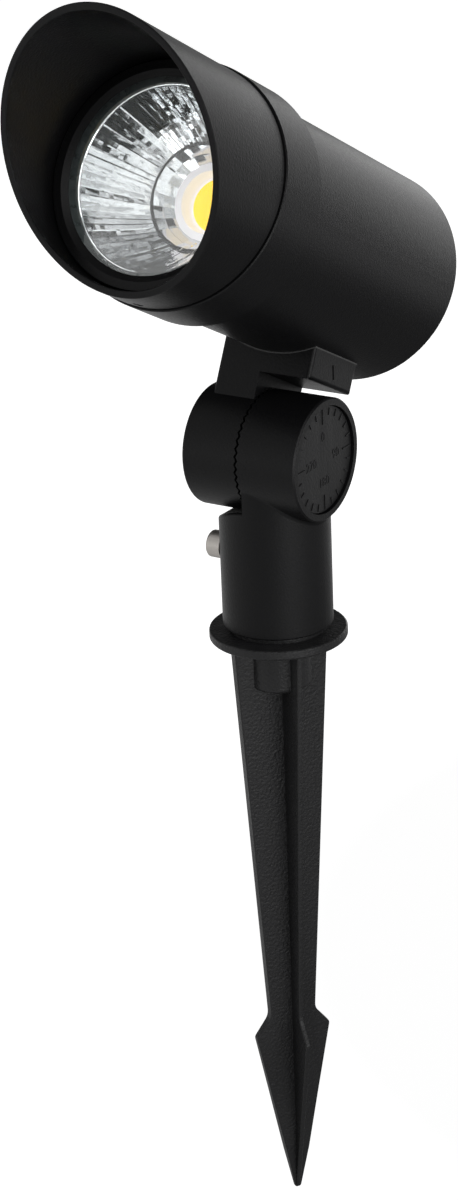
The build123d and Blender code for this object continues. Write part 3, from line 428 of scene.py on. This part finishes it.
@dataclass(frozen=True)
class GrainedPlastic:
    """Moulded plastic with the cast of an etched mould: shallow pits over soft flow streaks."""

    name: str
    dark: Colour
    light: Colour
    roughness: Tuple[float, float] = (0.38, 0.52)
    specular: float = 0.18
    pit_size: float = 0.9 * MILLIMETRE
    pit_depth: float = 0.25 * MILLIMETRE
    streak_size: float = 6 * MILLIMETRE
    streak_stretch: Tuple[float, float, float] = (1.0, 1.0, 0.15)

    def material(self) -> bpy.types.Material:
        """Builds the finish.

        Returns:
            The material.
        """
        nodes = Nodes(self.name)
        pits = nodes.grain(self.pit_size, 2.0)
        streaks = nodes.grain(self.streak_size, 1.0, Scale=self.streak_stretch)
        return nodes.principled(
            Base_Color=nodes.mottled(streaks, self.dark, self.light),
            Roughness=nodes.ramp(streaks, *self.roughness),
            Specular_IOR_Level=self.specular,
            Normal=nodes.bump(pits, self.pit_depth))


@dataclass(frozen=True)
class BareMetal:
    """Turned or drawn metal: fine tool lines that run round or along the piece."""

    name: str
    colour: Colour
    roughness: Tuple[float, float]
    line_size: float = 0.25 * MILLIMETRE
    line_depth: float = 0.003 * MILLIMETRE
    line_stretch: Tuple[float, float, float] = (1.0, 0.08, 0.08)
    tarnish: float = 0.85

    def material(self) -> bpy.types.Material:
        """Builds the finish.

        Returns:
            The material.
        """
        nodes = Nodes(self.name)
        lines = nodes.grain(self.line_size, 2.0, Scale=self.line_stretch)
        dull = tuple(channel * self.tarnish for channel in self.colour)
        return nodes.principled(
            Base_Color=nodes.mottled(lines, dull, self.colour),
            Metallic=1.0, Roughness=nodes.ramp(lines, *self.roughness),
            Normal=nodes.bump(lines, self.line_depth))


@dataclass(frozen=True)
class Mirror:
    """Bright anodised reflector metal, faintly hazed, so that a little light scatters."""

    name: str = "reflector_metal"
    colour: Colour = (0.70, 0.71, 0.72)
    roughness: Tuple[float, float] = (0.03, 0.09)
    tarnish: float = 0.96
    metallic: float = 0.95
    haze_size: float = 3 * MILLIMETRE

    def material(self) -> bpy.types.Material:
        """Builds the finish.

        Returns:
            The material.
        """
        nodes = Nodes(self.name)
        haze = nodes.grain(self.haze_size)
        dull = tuple(channel * self.tarnish for channel in self.colour)
        return nodes.principled(Base_Color=nodes.mottled(haze, dull, self.colour),
                                Metallic=self.metallic,
                                Roughness=nodes.ramp(haze, *self.roughness))


@dataclass(frozen=True)
class ClearGlass:
    """Clear toughened glass. Rays from lamps pass straight through it."""

    name: str = "clear_glass"
    colour: Colour = (0.95, 0.965, 0.96)
    index: float = 1.46

    def material(self) -> bpy.types.Material:
        """Builds the finish.

        Returns:
            The material.
        """
        nodes = Nodes(self.name)
        glass = nodes.add("ShaderNodeBsdfPrincipled", Base_Color=(*self.colour, 1),
                          Roughness=0.0, IOR=self.index, Transmission_Weight=1.0)
        clear = nodes.add("ShaderNodeBsdfTransparent", Color=(*self.colour, 1))
        rays = nodes.add("ShaderNodeLightPath")
        mix = nodes.add("ShaderNodeMixShader", Fac=rays.outputs["Is Shadow Ray"])
        nodes.tree.links.new(glass.outputs[0], mix.inputs[1])
        nodes.tree.links.new(clear.outputs[0], mix.inputs[2])
        nodes.tree.links.new(mix.outputs[0], nodes.output.inputs["Surface"])
        return nodes.material


@dataclass(frozen=True)
class SoftMoulding:
    """Rubber, silicone, insulation or white moulding: an even body with a little mottle."""

    name: str
    dark: Colour
    light: Colour
    roughness: Tuple[float, float]
    mottle_size: float = 1.2 * MILLIMETRE
    skin_depth: float = 0.006 * MILLIMETRE
    # glow is painted light: an emission that brightens a part which is no lamp
    glow: float = 0.0

    def material(self) -> bpy.types.Material:
        """Builds the finish.

        Returns:
            The material.
        """
        nodes = Nodes(self.name)
        mottle = nodes.grain(self.mottle_size)
        return nodes.principled(
            Base_Color=nodes.mottled(mottle, self.dark, self.light),
            Roughness=nodes.ramp(mottle, *self.roughness),
            Normal=nodes.bump(mottle, self.skin_depth),
            Emission_Color=(*self.light, 1), Emission_Strength=self.glow)


class Finishes:
    """Every finish, made once and handed out by name."""

    def __init__(self) -> None:
        """Makes the materials."""
        self.powder_coat = PowderCoat().material()
        self.spike_plastic = GrainedPlastic(
            "black_nylon", (0.0064, 0.0064, 0.0067), (0.0092, 0.0092, 0.0097)).material()
        self.dial_plastic = GrainedPlastic(
            "dial_plastic", (0.0040, 0.0040, 0.0042), (0.0060, 0.0060, 0.0063),
            specular=0.14, pit_size=0.8 * MILLIMETRE, pit_depth=0.08 * MILLIMETRE).material()
        self.steel = BareMetal("stainless", (0.36, 0.34, 0.32), (0.36, 0.5)).material()
        self.black_steel = BareMetal("black_steel", (0.05, 0.05, 0.055), (0.3, 0.45)).material()
        self.aluminium = BareMetal("plate_aluminium", (0.70, 0.70, 0.71), (0.3, 0.42)).material()
        self.mirror = Mirror().material()
        self.glass = ClearGlass().material()
        self.black_rubber = SoftMoulding("black_rubber", (0.014, 0.014, 0.014),
                                         (0.022, 0.022, 0.022), (0.6, 0.75)).material()
        self.lens_rubber = SoftMoulding("lens_silicone", (0.016, 0.021, 0.021),
                                        (0.028, 0.034, 0.034), (0.35, 0.5)).material()
        self.pad = SoftMoulding("thermal_silicone", (0.28, 0.34, 0.4), (0.36, 0.42, 0.47),
                                (0.7, 0.8)).material()
        # The board, holder and dam ring glow: painted light, standing in for light that falls into
        # the bowl
        self.white = SoftMoulding("white_board", (0.78, 0.75, 0.77), (0.88, 0.85, 0.88),
                                  (0.35, 0.5), glow=0.3).material()
        # The unlit yellow disc glows as well: painted light, brighter than the lamps alone make it
        self.phosphor = SoftMoulding("phosphor", (1.0, 0.62, 0.002), (1.0, 0.72, 0.006),
                                     (0.18, 0.3), mottle_size=0.25 * MILLIMETRE,
                                     glow=0.5).material()
        self.case = SoftMoulding("white_case", (0.66, 0.66, 0.64), (0.74, 0.74, 0.72),
                                 (0.45, 0.6)).material()
        self.insulation = SoftMoulding("lead_insulation", (0.32, 0.015, 0.012),
                                       (0.42, 0.03, 0.02), (0.3, 0.4)).material()


def dress(piece: bpy.types.Object, material: bpy.types.Material) -> None:
    """Gives every face of a piece one material."""
    piece.data.materials.clear()
    piece.data.materials.append(material)


# ---- Sub-assemblies ---------------------------------------------------------------------------
@dataclass
class SubAssembly:
    """What every sub-assembly knows: the frame, the finishes and how to hand a piece over."""

    frame: Dict[str, Any]
    finishes: Finishes

    def keep(self, node: str, material: bpy.types.Material) -> None:
        """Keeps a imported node's shape and gives it a finish."""
        dress(self.frame["nodes"][node], material)
        log.info("kept %s in %s", node, material.name)

    def hand_over(self, piece: bpy.types.Object, material: bpy.types.Material, body: Body,
                  slot: Slot, replaced: Sequence[str] = ()) -> None:
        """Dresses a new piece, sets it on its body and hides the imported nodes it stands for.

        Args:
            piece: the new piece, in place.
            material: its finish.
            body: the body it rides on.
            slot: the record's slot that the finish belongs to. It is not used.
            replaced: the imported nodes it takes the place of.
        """
        dress(piece, material)
        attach(piece, body.value)
        for node in replaced:
            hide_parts(node)
        log.info("made %s, %d faces", piece.name, len(piece.data.polygons))


@dataclass
class Optics(SubAssembly):
    """The reflector bowl, the source and what holds them, seen through the glass."""

    lamp: Seat
    flutes: int = 144
    rows: int = 14
    crease: float = 0.2                # how much of two flutes the narrow one takes
    fan: float = 0.09 * MILLIMETRE
    jitter: float = 0.018 * MILLIMETRE
    inner_share: float = 0.22          # of the bowl's depth, round the source, in wide facets
    inner_rows: int = 2
    inner_flutes: int = 24
    inner_crease: float = 0.5          # flutes of one width
    inner_fan: float = 0.06 * MILLIMETRE
    inner_step: float = 1.0 * MILLIMETRE
    mouth_round: float = 0.5 * MILLIMETRE
    round_steps: int = 5
    bowl_wall: float = 1.0 * MILLIMETRE
    backing: float = 0.2 * MILLIMETRE  # how far behind the facets the shell's front lies
    lip: float = 0.8 * MILLIMETRE
    back_steps: int = 24
    end_band: float = 0.05 * MILLIMETRE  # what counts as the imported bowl's foot or mouth
    dome_middle: float = 0.82          # the disc's height there, of that at its rim
    dome_power: int = 6
    dome_steps: int = 40
    seed: int = 7
    segments: int = 96

    def build(self) -> None:
        """Makes and dresses the optics."""
        finishes = self.finishes
        self.keep("glass_lens", finishes.glass)
        self.keep("lens_gasket", finishes.lens_rubber)
        # The board, holder and dam ring take the white finish, whose glow is painted light
        self.keep("led_board", finishes.white)
        self.keep("led_holder", finishes.white)
        self.keep("led_dam_ring", finishes.white)
        self.keep("holder_screws", finishes.steel)
        self.keep("thermal_pad", finishes.pad)
        self.hand_over(self.bowl(), finishes.mirror, Body.HEAD, Slot.REFLECTOR, ["reflector"])
        # The yellow disc's finish glows: painted light
        self.hand_over(self.phosphor(), finishes.phosphor, Body.HEAD, Slot.PHOSPHOR,
                       ["led_emitter"])

    def paraboloid(self, share: Array, inner: bool = False) -> Tuple[Array, Array]:
        """The bowl's curve: its radius squared grows evenly with its depth.

        In the inner zone the radius falls behind that curve evenly, up to the step at its top.

        Args:
            share: how far up the bowl, from 0 at the foot to 1 at the mouth.
            inner: whether this is the steeper zone round the source, which ends in a step.

        Returns:
            The radius and the place along the lamp.
        """
        local = self.lamp.measure(node_points(self.frame, "reflector"))
        radius, along = np.hypot(local[:, 0], local[:, 1]), local[:, 2]
        foot, mouth = along.min(), along.max()
        foot_radius = radius[along < foot + self.end_band].min()
        mouth_radius = radius[along > mouth - self.end_band].min()
        grown = np.sqrt(foot_radius ** 2 + (mouth_radius ** 2 - foot_radius ** 2) * share)
        if inner:
            grown = grown - self.inner_step * share / self.inner_share
        return grown, foot + (mouth - foot) * share

    def facet_band(self, edges: Array, flutes: int, crease: float, fan: float, jitter: float,
                   inner: bool, generator: np.random.Generator) -> Array:
        """Corners of the flat facets of one band, four to a facet.

        Facet (i, j) spans depth i to i + 1 and turn j to j + 1. A slope across is drawn for
        each flute and a smaller one, across and along, for each facet. The corners move in
        or out by these slopes, so that each facet mirrors its own piece of the room.

        Args:
            edges: the rows' edges, as shares of the bowl's depth.
            flutes: how many facets go round.
            crease: how much of two flutes every second one takes.
            fan: the largest slope of a whole flute, as a rise of its edge.
            jitter: the largest slope of a single facet, as a rise of its edge.
            inner: whether this is the zone round the source.
            generator: the random source.

        Returns:
            Points of shape (rows, flutes, 4, 3), local to the lamp.
        """
        rows = len(edges) - 1
        radius, along = self.paraboloid(edges, inner)
        edge = np.arange(flutes + 1)
        turn = (edge // 2 + edge % 2 * (1 - crease)) * 4 * np.pi / flutes
        row = np.arange(rows)[:, None, None] + np.array([0, 0, 1, 1])
        column = np.arange(flutes)[None, :, None] + np.array([0, 1, 1, 0])
        whole = generator.uniform(-fan, fan, (1, flutes, 1)) * np.array([-1, 1, 1, -1])
        slope = generator.uniform(-jitter, jitter, (rows, flutes, 1, 2))
        single = (slope * np.array([[-1, -1], [1, -1], [1, 1], [-1, 1]])).sum(-1)
        angle = turn[column]
        reach = radius[row] + whole + single
        return np.stack([reach * np.cos(angle), reach * np.sin(angle),
                         along[row] + 0 * angle], -1)

    def facets(self, brim: float) -> Array:
        """The corners of every facet, one row each, four to a facet.

        Args:
            brim: the share of the bowl's depth at which the facets end.

        Returns:
            The inner zone's wide facets, then the fine ones above them.
        """
        generator = np.random.default_rng(self.seed)
        wide = self.facet_band(np.linspace(0.0, self.inner_share, self.inner_rows + 1),
                               self.inner_flutes, self.inner_crease, self.inner_fan,
                               self.inner_fan, True, generator)
        fine = self.facet_band(np.linspace(self.inner_share, brim, self.rows + 1), self.flutes,
                               self.crease, self.fan, self.jitter, False, generator)
        return np.concatenate([wide.reshape(-1, 3), fine.reshape(-1, 3)])

    def shell_outline(self, brim: float, outer: float, high: float) -> Array:
        """The shell behind the facets: its front, the mouth's round, its flange and its back.

        The round is a quarter circle, from the front's last point out to the flange.

        Args:
            brim: the share of the bowl's depth at which the round starts.
            outer: the flange's radius.
            high: where the flange's front lies along the lamp.

        Returns:
            The outline as (radius, along), one row each.
        """
        radius, along = self.paraboloid(np.linspace(0, brim, self.back_steps))
        bend = np.linspace(0, np.pi / 2, self.round_steps + 1)
        lip_back = high - self.lip
        return np.stack([
            np.concatenate([radius + self.backing,
                            radius[-1] + self.mouth_round * (1 - np.cos(bend)),
                            [outer, outer], radius[::-1] + self.bowl_wall]),
            np.concatenate([along, along[-1] + self.mouth_round * np.sin(bend),
                            [high, lip_back], np.minimum(along[::-1], lip_back)])], 1)

    def bowl(self) -> bpy.types.Object:
        """The facetted bowl: loose flat facets in front of a closed turned shell.

        Returns:
            The bowl.
        """
        outer, low, high = node_span(self.frame, "reflector", self.lamp)
        brim = 1 - self.mouth_round / (high - low)
        corners = self.facets(brim)
        faces = np.arange(len(corners)).reshape(-1, 4)[:, ::-1]
        outline = self.shell_outline(brim, outer, high)
        shell_faces = grid_faces(self.segments, len(outline)) + len(corners)
        points = self.lamp.place(np.concatenate([corners, turned(outline, self.segments)]))
        return new_object("reflector_bowl", points, np.concatenate([faces, shell_faces]), False)

    def phosphor(self) -> bpy.types.Object:
        """The yellow disc: flat in its middle, with a meniscus that climbs at its rim.

        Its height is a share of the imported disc's, dome_middle in the middle, that grows to 1
        with the radius raised to dome_power.

        Returns:
            The disc.
        """
        radius, low, high = node_span(self.frame, "led_emitter", self.lamp)
        share = np.linspace(0, 1, self.dome_steps)[1:]
        dome = (high - low) * (self.dome_middle + (1 - self.dome_middle) * share ** self.dome_power)
        outline = np.concatenate([
            np.stack([radius * share, low + dome], 1), [[radius, low]],
            [[radius * share[0], low]]])
        points = self.lamp.place(turned(outline[::-1], self.segments))
        return new_object("led_phosphor", points,
                          grid_faces(self.segments, len(outline)), True)


@dataclass
class Head(SubAssembly):
    """The lamp's housing, ring and hood, the arm that carries them, and the gland behind."""

    def build(self) -> None:
        """Dresses the head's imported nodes."""
        finishes = self.finishes
        for node in ("rear_housing", "front_ring", "hood", "tilt_arm"):
            self.keep(node, finishes.powder_coat)
        for node in ("arm_gasket", "body_o_ring", "gland_seal"):
            self.keep(node, finishes.black_rubber)
        for node in ("gland_body", "gland_nut"):
            self.keep(node, finishes.spike_plastic)
        for node in ("arm_screws", "plate_screws", "bracket_screws"):
            self.keep(node, finishes.steel)
        for node in ("mount_plate", "driver_bracket"):
            self.keep(node, finishes.aluminium)
        self.keep("led_driver", finishes.case)
        self.keep("led_leads", finishes.insulation)
        self.keep("hood_grub_screw", finishes.black_steel)


@dataclass
class Base(SubAssembly):
    """The stem with its dial and bolt, and the ground spike."""

    pivot: Seat
    digit_height: float = 3.0 * MILLIMETRE
    type_size: float = 1.35            # the type's size, of its digits' height
    digit_rise: float = 0.25 * MILLIMETRE
    digit_radius: float = 7.0 * MILLIMETRE

    def build(self) -> None:
        """Makes and dresses the base."""
        finishes = self.finishes
        self.keep("stem_casting", finishes.powder_coat)
        self.keep("dial_plate", finishes.dial_plastic)
        self.keep("ground_spike", finishes.spike_plastic)
        for node in ("lock_screw", "pivot_bolt", "pivot_washer", "pivot_spring_washer",
                     "pivot_nut"):
            self.keep(node, finishes.steel)
        for index, text in enumerate(("0", "90", "180", "270")):
            self.hand_over(self.digits(text, index * 90.0), finishes.dial_plastic, Body.STEM,
                           Slot.DIAL)

    def digits(self, text: str, turn: float) -> bpy.types.Object:
        """Raised digits on the dial's face, upright to someone who reads the dial.

        Args:
            text: the digits.
            turn: where they stand, in degrees clockwise from the top.

        Returns:
            The digits as a mesh.
        """
        curve = bpy.data.curves.new("digits", "FONT")
        curve.body = text
        curve.align_x = curve.align_y = "CENTER"
        curve.size = self.digit_height * self.type_size
        curve.extrude = self.digit_rise / 2
        drawn = bpy.data.objects.new("digits", curve)
        bpy.context.scene.collection.objects.link(drawn)
        bpy.context.view_layer.update()
        mesh = bpy.data.meshes.new_from_object(drawn.evaluated_get(
            bpy.context.evaluated_depsgraph_get()))
        bpy.data.objects.remove(drawn)
        # The dial's faces are square to X. The outermost is the tops of its ticks.
        levels = np.unique(node_points(self.frame, "dial_plate")[:, 0].round(6))
        below_ticks = levels[-2]
        angle = np.radians(turn)
        centre = self.pivot.origin + self.digit_radius * (
            np.sin(angle) * self.pivot.side + np.cos(angle) * self.pivot.up)
        centre[0] = below_ticks
        place = Seat(centre, self.pivot.side, self.pivot.up, self.pivot.along)
        mesh.transform(place.matrix())
        piece = bpy.data.objects.new(f"dial_digits_{text}", mesh)
        bpy.context.scene.collection.objects.link(piece)
        return piece


# ---- Studio -----------------------------------------------------------------------------------
@dataclass(frozen=True)
class Lamp:
    """A round soft box that faces the object from a direction.

    Attributes:
        name: its name.
        azimuth: its direction on the floor, in degrees from +X towards +Y.
        elevation: its height above level, in degrees.
        power: its power in watts.
        radius: its radius.
        distance: how far it stands from its target.
        target: the point that it faces.
    """

    name: str
    azimuth: float
    elevation: float
    power: float
    radius: float = 0.47
    distance: float = 1.3
    target: Tuple[float, float, float] = (0.0, 0.0, 0.05)

    def build(self) -> None:
        """Makes the lamp and turns it to its target."""
        light = bpy.data.lights.new(self.name, "AREA")
        light.shape = "DISK"
        light.size = 2 * self.radius
        light.energy = self.power
        turn, rise = np.radians(self.azimuth), np.radians(self.elevation)
        away = Vector((np.cos(turn) * np.cos(rise), np.sin(turn) * np.cos(rise), np.sin(rise)))
        holder = bpy.data.objects.new(self.name, light)
        holder.location = Vector(self.target) + away * self.distance
        holder.rotation_euler = away.to_track_quat("Z", "Y").to_euler()
        holder.visible_camera = False
        bpy.context.scene.collection.objects.link(holder)


@dataclass(frozen=True)
class Floor:
    """Pale floor that cameras, glass and metal see as white, with the object's shadow on it.

    A dark cloth lies on it behind the object on the right. Cameras and glass don't see it.

    Attributes:
        level: its height.
        half_side: half its width.
        pale: its colour.
        cloth: the dark cloth's colour.
        cloth_middle: where the cloth lies.
        cloth_reach: distances from its middle at which it starts to fade and has faded.
        near: how brightly the floor glows by the object, where the lamps light it too.
        far: how brightly it glows away from them.
        fade: distances from the object between which its glow goes from near to far.
        mirrored: how much of that glow metal sees, on the bare floor and on the cloth.
    """

    level: float
    half_side: float = 6.0
    pale: Colour = (0.5, 0.5, 0.5)
    cloth: Colour = (0.02, 0.02, 0.02)
    cloth_middle: Tuple[float, float] = (0.13, 0.27)
    cloth_reach: Tuple[float, float] = (0.24, 0.42)
    near: float = 0.98
    far: float = 1.0
    fade: Tuple[float, float] = (0.3, 0.7)
    mirrored: Tuple[float, float] = (0.7, 0.17)

    def build(self) -> None:
        """Makes the floor and its material."""
        corners = np.array([[-1, -1, 0], [1, -1, 0], [1, 1, 0], [-1, 1, 0]]) * self.half_side
        floor = new_object("floor", corners + [0, 0, self.level], np.array([[0, 1, 2, 3]]), False)
        nodes = Nodes("pale_floor")
        where = nodes.add("ShaderNodeTexCoord").outputs["Object"]
        bare = nodes.near(where, (*self.cloth_middle, self.level), *self.cloth_reach, 0.0, 1.0)
        glow = nodes.near(where, (0.0, 0.0, self.level), *self.fade, self.near, self.far)
        rays = nodes.add("ShaderNodeLightPath").outputs
        share = nodes.near(where, (*self.cloth_middle, self.level), *self.cloth_reach,
                           *self.mirrored[::-1])
        mirrored = nodes.math("MULTIPLY", rays["Is Glossy Ray"], share)
        through = nodes.math("MAXIMUM", rays["Is Camera Ray"], rays["Is Transmission Ray"])
        seen = nodes.math("MULTIPLY", nodes.math("MAXIMUM", through, mirrored), glow)
        lit = nodes.add("ShaderNodeBsdfDiffuse", Color=nodes.mottled(bare, self.cloth, self.pale))
        white = nodes.add("ShaderNodeEmission", Strength=seen)
        both = nodes.add("ShaderNodeAddShader")
        nodes.tree.links.new(lit.outputs[0], both.inputs[0])
        nodes.tree.links.new(white.outputs[0], both.inputs[1])
        nodes.tree.links.new(both.outputs[0], nodes.output.inputs["Surface"])
        dress(floor, nodes.material)


@dataclass(frozen=True)
class Room:
    """The room round the floor: cameras and glass see white, metal a white wall and dark above.

    Attributes:
        wall: how brightly metal sees the white wall.
        dim: how bright the room is above it.
        wall_top: the sines of the elevations between which the wall fades.
    """

    wall: float = 0.35
    dim: float = 0.04
    wall_top: Tuple[float, float] = (0.16, 0.34)

    def build(self) -> None:
        """Makes the world."""
        world = bpy.data.worlds.new("room")
        bpy.context.scene.world = world
        world.use_nodes = True
        tree = world.node_tree
        tree.nodes.clear()
        rays = tree.nodes.new("ShaderNodeLightPath").outputs
        split = tree.nodes.new("ShaderNodeSeparateXYZ")
        tree.links.new(tree.nodes.new("ShaderNodeTexCoord").outputs["Generated"],
                       split.inputs[0])
        wall = tree.nodes.new("ShaderNodeMapRange")
        tree.links.new(split.outputs["Z"], wall.inputs["Value"])
        for name, value in zip(("From Min", "From Max", "To Min", "To Max"),
                               (*self.wall_top, self.wall, self.dim)):
            wall.inputs[name].default_value = value
        level = wall.outputs[0]
        for operation, ray in (("MULTIPLY", "Is Glossy Ray"), ("MAXIMUM", "Is Camera Ray"),
                               ("MAXIMUM", "Is Transmission Ray")):
            step = tree.nodes.new("ShaderNodeMath")
            step.operation = operation
            tree.links.new(level, step.inputs[0])
            tree.links.new(rays[ray], step.inputs[1])
            level = step.outputs[0]
        light = tree.nodes.new("ShaderNodeBackground")
        light.inputs["Color"].default_value = (1, 1, 1, 1)
        tree.links.new(level, light.inputs["Strength"])
        output = tree.nodes.new("ShaderNodeOutputWorld")
        tree.links.new(light.outputs[0], output.inputs["Surface"])


@dataclass(frozen=True)
class Studio:
    """Floor, room, soft boxes and the camera at the photograph's angle.

    Attributes:
        floor_level: the floor's height.
        picture: the picture's width and height.
        focal_pixels: the lens's focal length in pixels of that picture.
        camera_place: where the camera stands.
        camera_right: the direction of the picture's rows.
        camera_up: the direction of its columns, upwards.
        sensor: the sensor's height in millimetres.
        clip: the nearest and the farthest distance that the camera sees.
        lamps: the soft boxes.
    """

    floor_level: float
    picture: Tuple[int, int] = (458, 1200)
    focal_pixels: float = 2949.43
    camera_place: Tuple[float, float, float] = (0.443377, -0.708546, 0.346845)
    camera_right: Tuple[float, float, float] = (0.84574445, 0.53224231, -0.03787423)
    camera_up: Tuple[float, float, float] = (-0.16853074, 0.33379659, 0.9274574)
    sensor: float = 24.0
    clip: Tuple[float, float] = (0.01, 50.0)
    lamps: Tuple[Lamp, ...] = (
        Lamp("key_right", 0.0, 22.0, 9.5),
        Lamp("rear_right", 90.0, 0.0, 4.1),
        Lamp("front_left", 225.0, 10.0, 8.0, radius=0.8),
        Lamp("front_right", 330.0, 0.0, 13.5),
        Lamp("top_left", 225.0, 60.0, 2.7),
        Lamp("top_front", 300.0, 48.0, 5.0, radius=0.35),
    )

    def build(self) -> None:
        """Makes the whole studio."""
        Floor(self.floor_level).build()
        Room().build()
        for lamp in self.lamps:
            lamp.build()
        self.camera()
        bpy.context.scene.view_settings.view_transform = "Standard"

    def camera(self) -> None:
        """The camera, from the view worked out of the photograph."""
        camera = bpy.data.cameras.new("camera")
        camera.sensor_fit = "VERTICAL"
        camera.sensor_height = self.sensor
        camera.lens = self.sensor * self.focal_pixels / self.picture[1]
        camera.clip_start, camera.clip_end = self.clip
        right, up = unit(self.camera_right), unit(self.camera_up)
        seat = Seat(np.asarray(self.camera_place), right, up, np.cross(right, up))
        holder = bpy.data.objects.new("camera", camera)
        holder.matrix_world = seat.matrix()
        bpy.context.scene.collection.objects.link(holder)
        bpy.context.scene.camera = holder


def joint(frame: Dict[str, Any], name: str) -> Dict[str, Any]:
    """The frame's joint of that name."""
    return next(entry for entry in frame["joints"] if entry["name"] == name)


def main() -> None:
    """Builds the pieces in order."""
    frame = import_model()
    tilt, hood = joint(frame, "head_tilt"), joint(frame, "hood_turn")
    across = (1.0, 0.0, 0.0)
    lamp_axis = unit(hood["axis"])
    from_pivot = np.asarray(hood["pos_m"]) - np.asarray(tilt["pos_m"])
    foot = np.asarray(hood["pos_m"]) - lamp_axis * (from_pivot @ lamp_axis)
    lamp = seat_on(foot, lamp_axis, across)
    pivot = seat_on(tilt["pos_m"], across, (0.0, 1.0, 0.0))
    finishes = Finishes()
    Optics(frame, finishes, lamp).build()
    Head(frame, finishes).build()
    Base(frame, finishes, pivot).build()
    lowest = node_points(frame, "ground_spike")[:, 2].min()
    Studio(floor_level=float(lowest) - FLOOR_GAP).build()


if __name__ == "__main__":
    main()
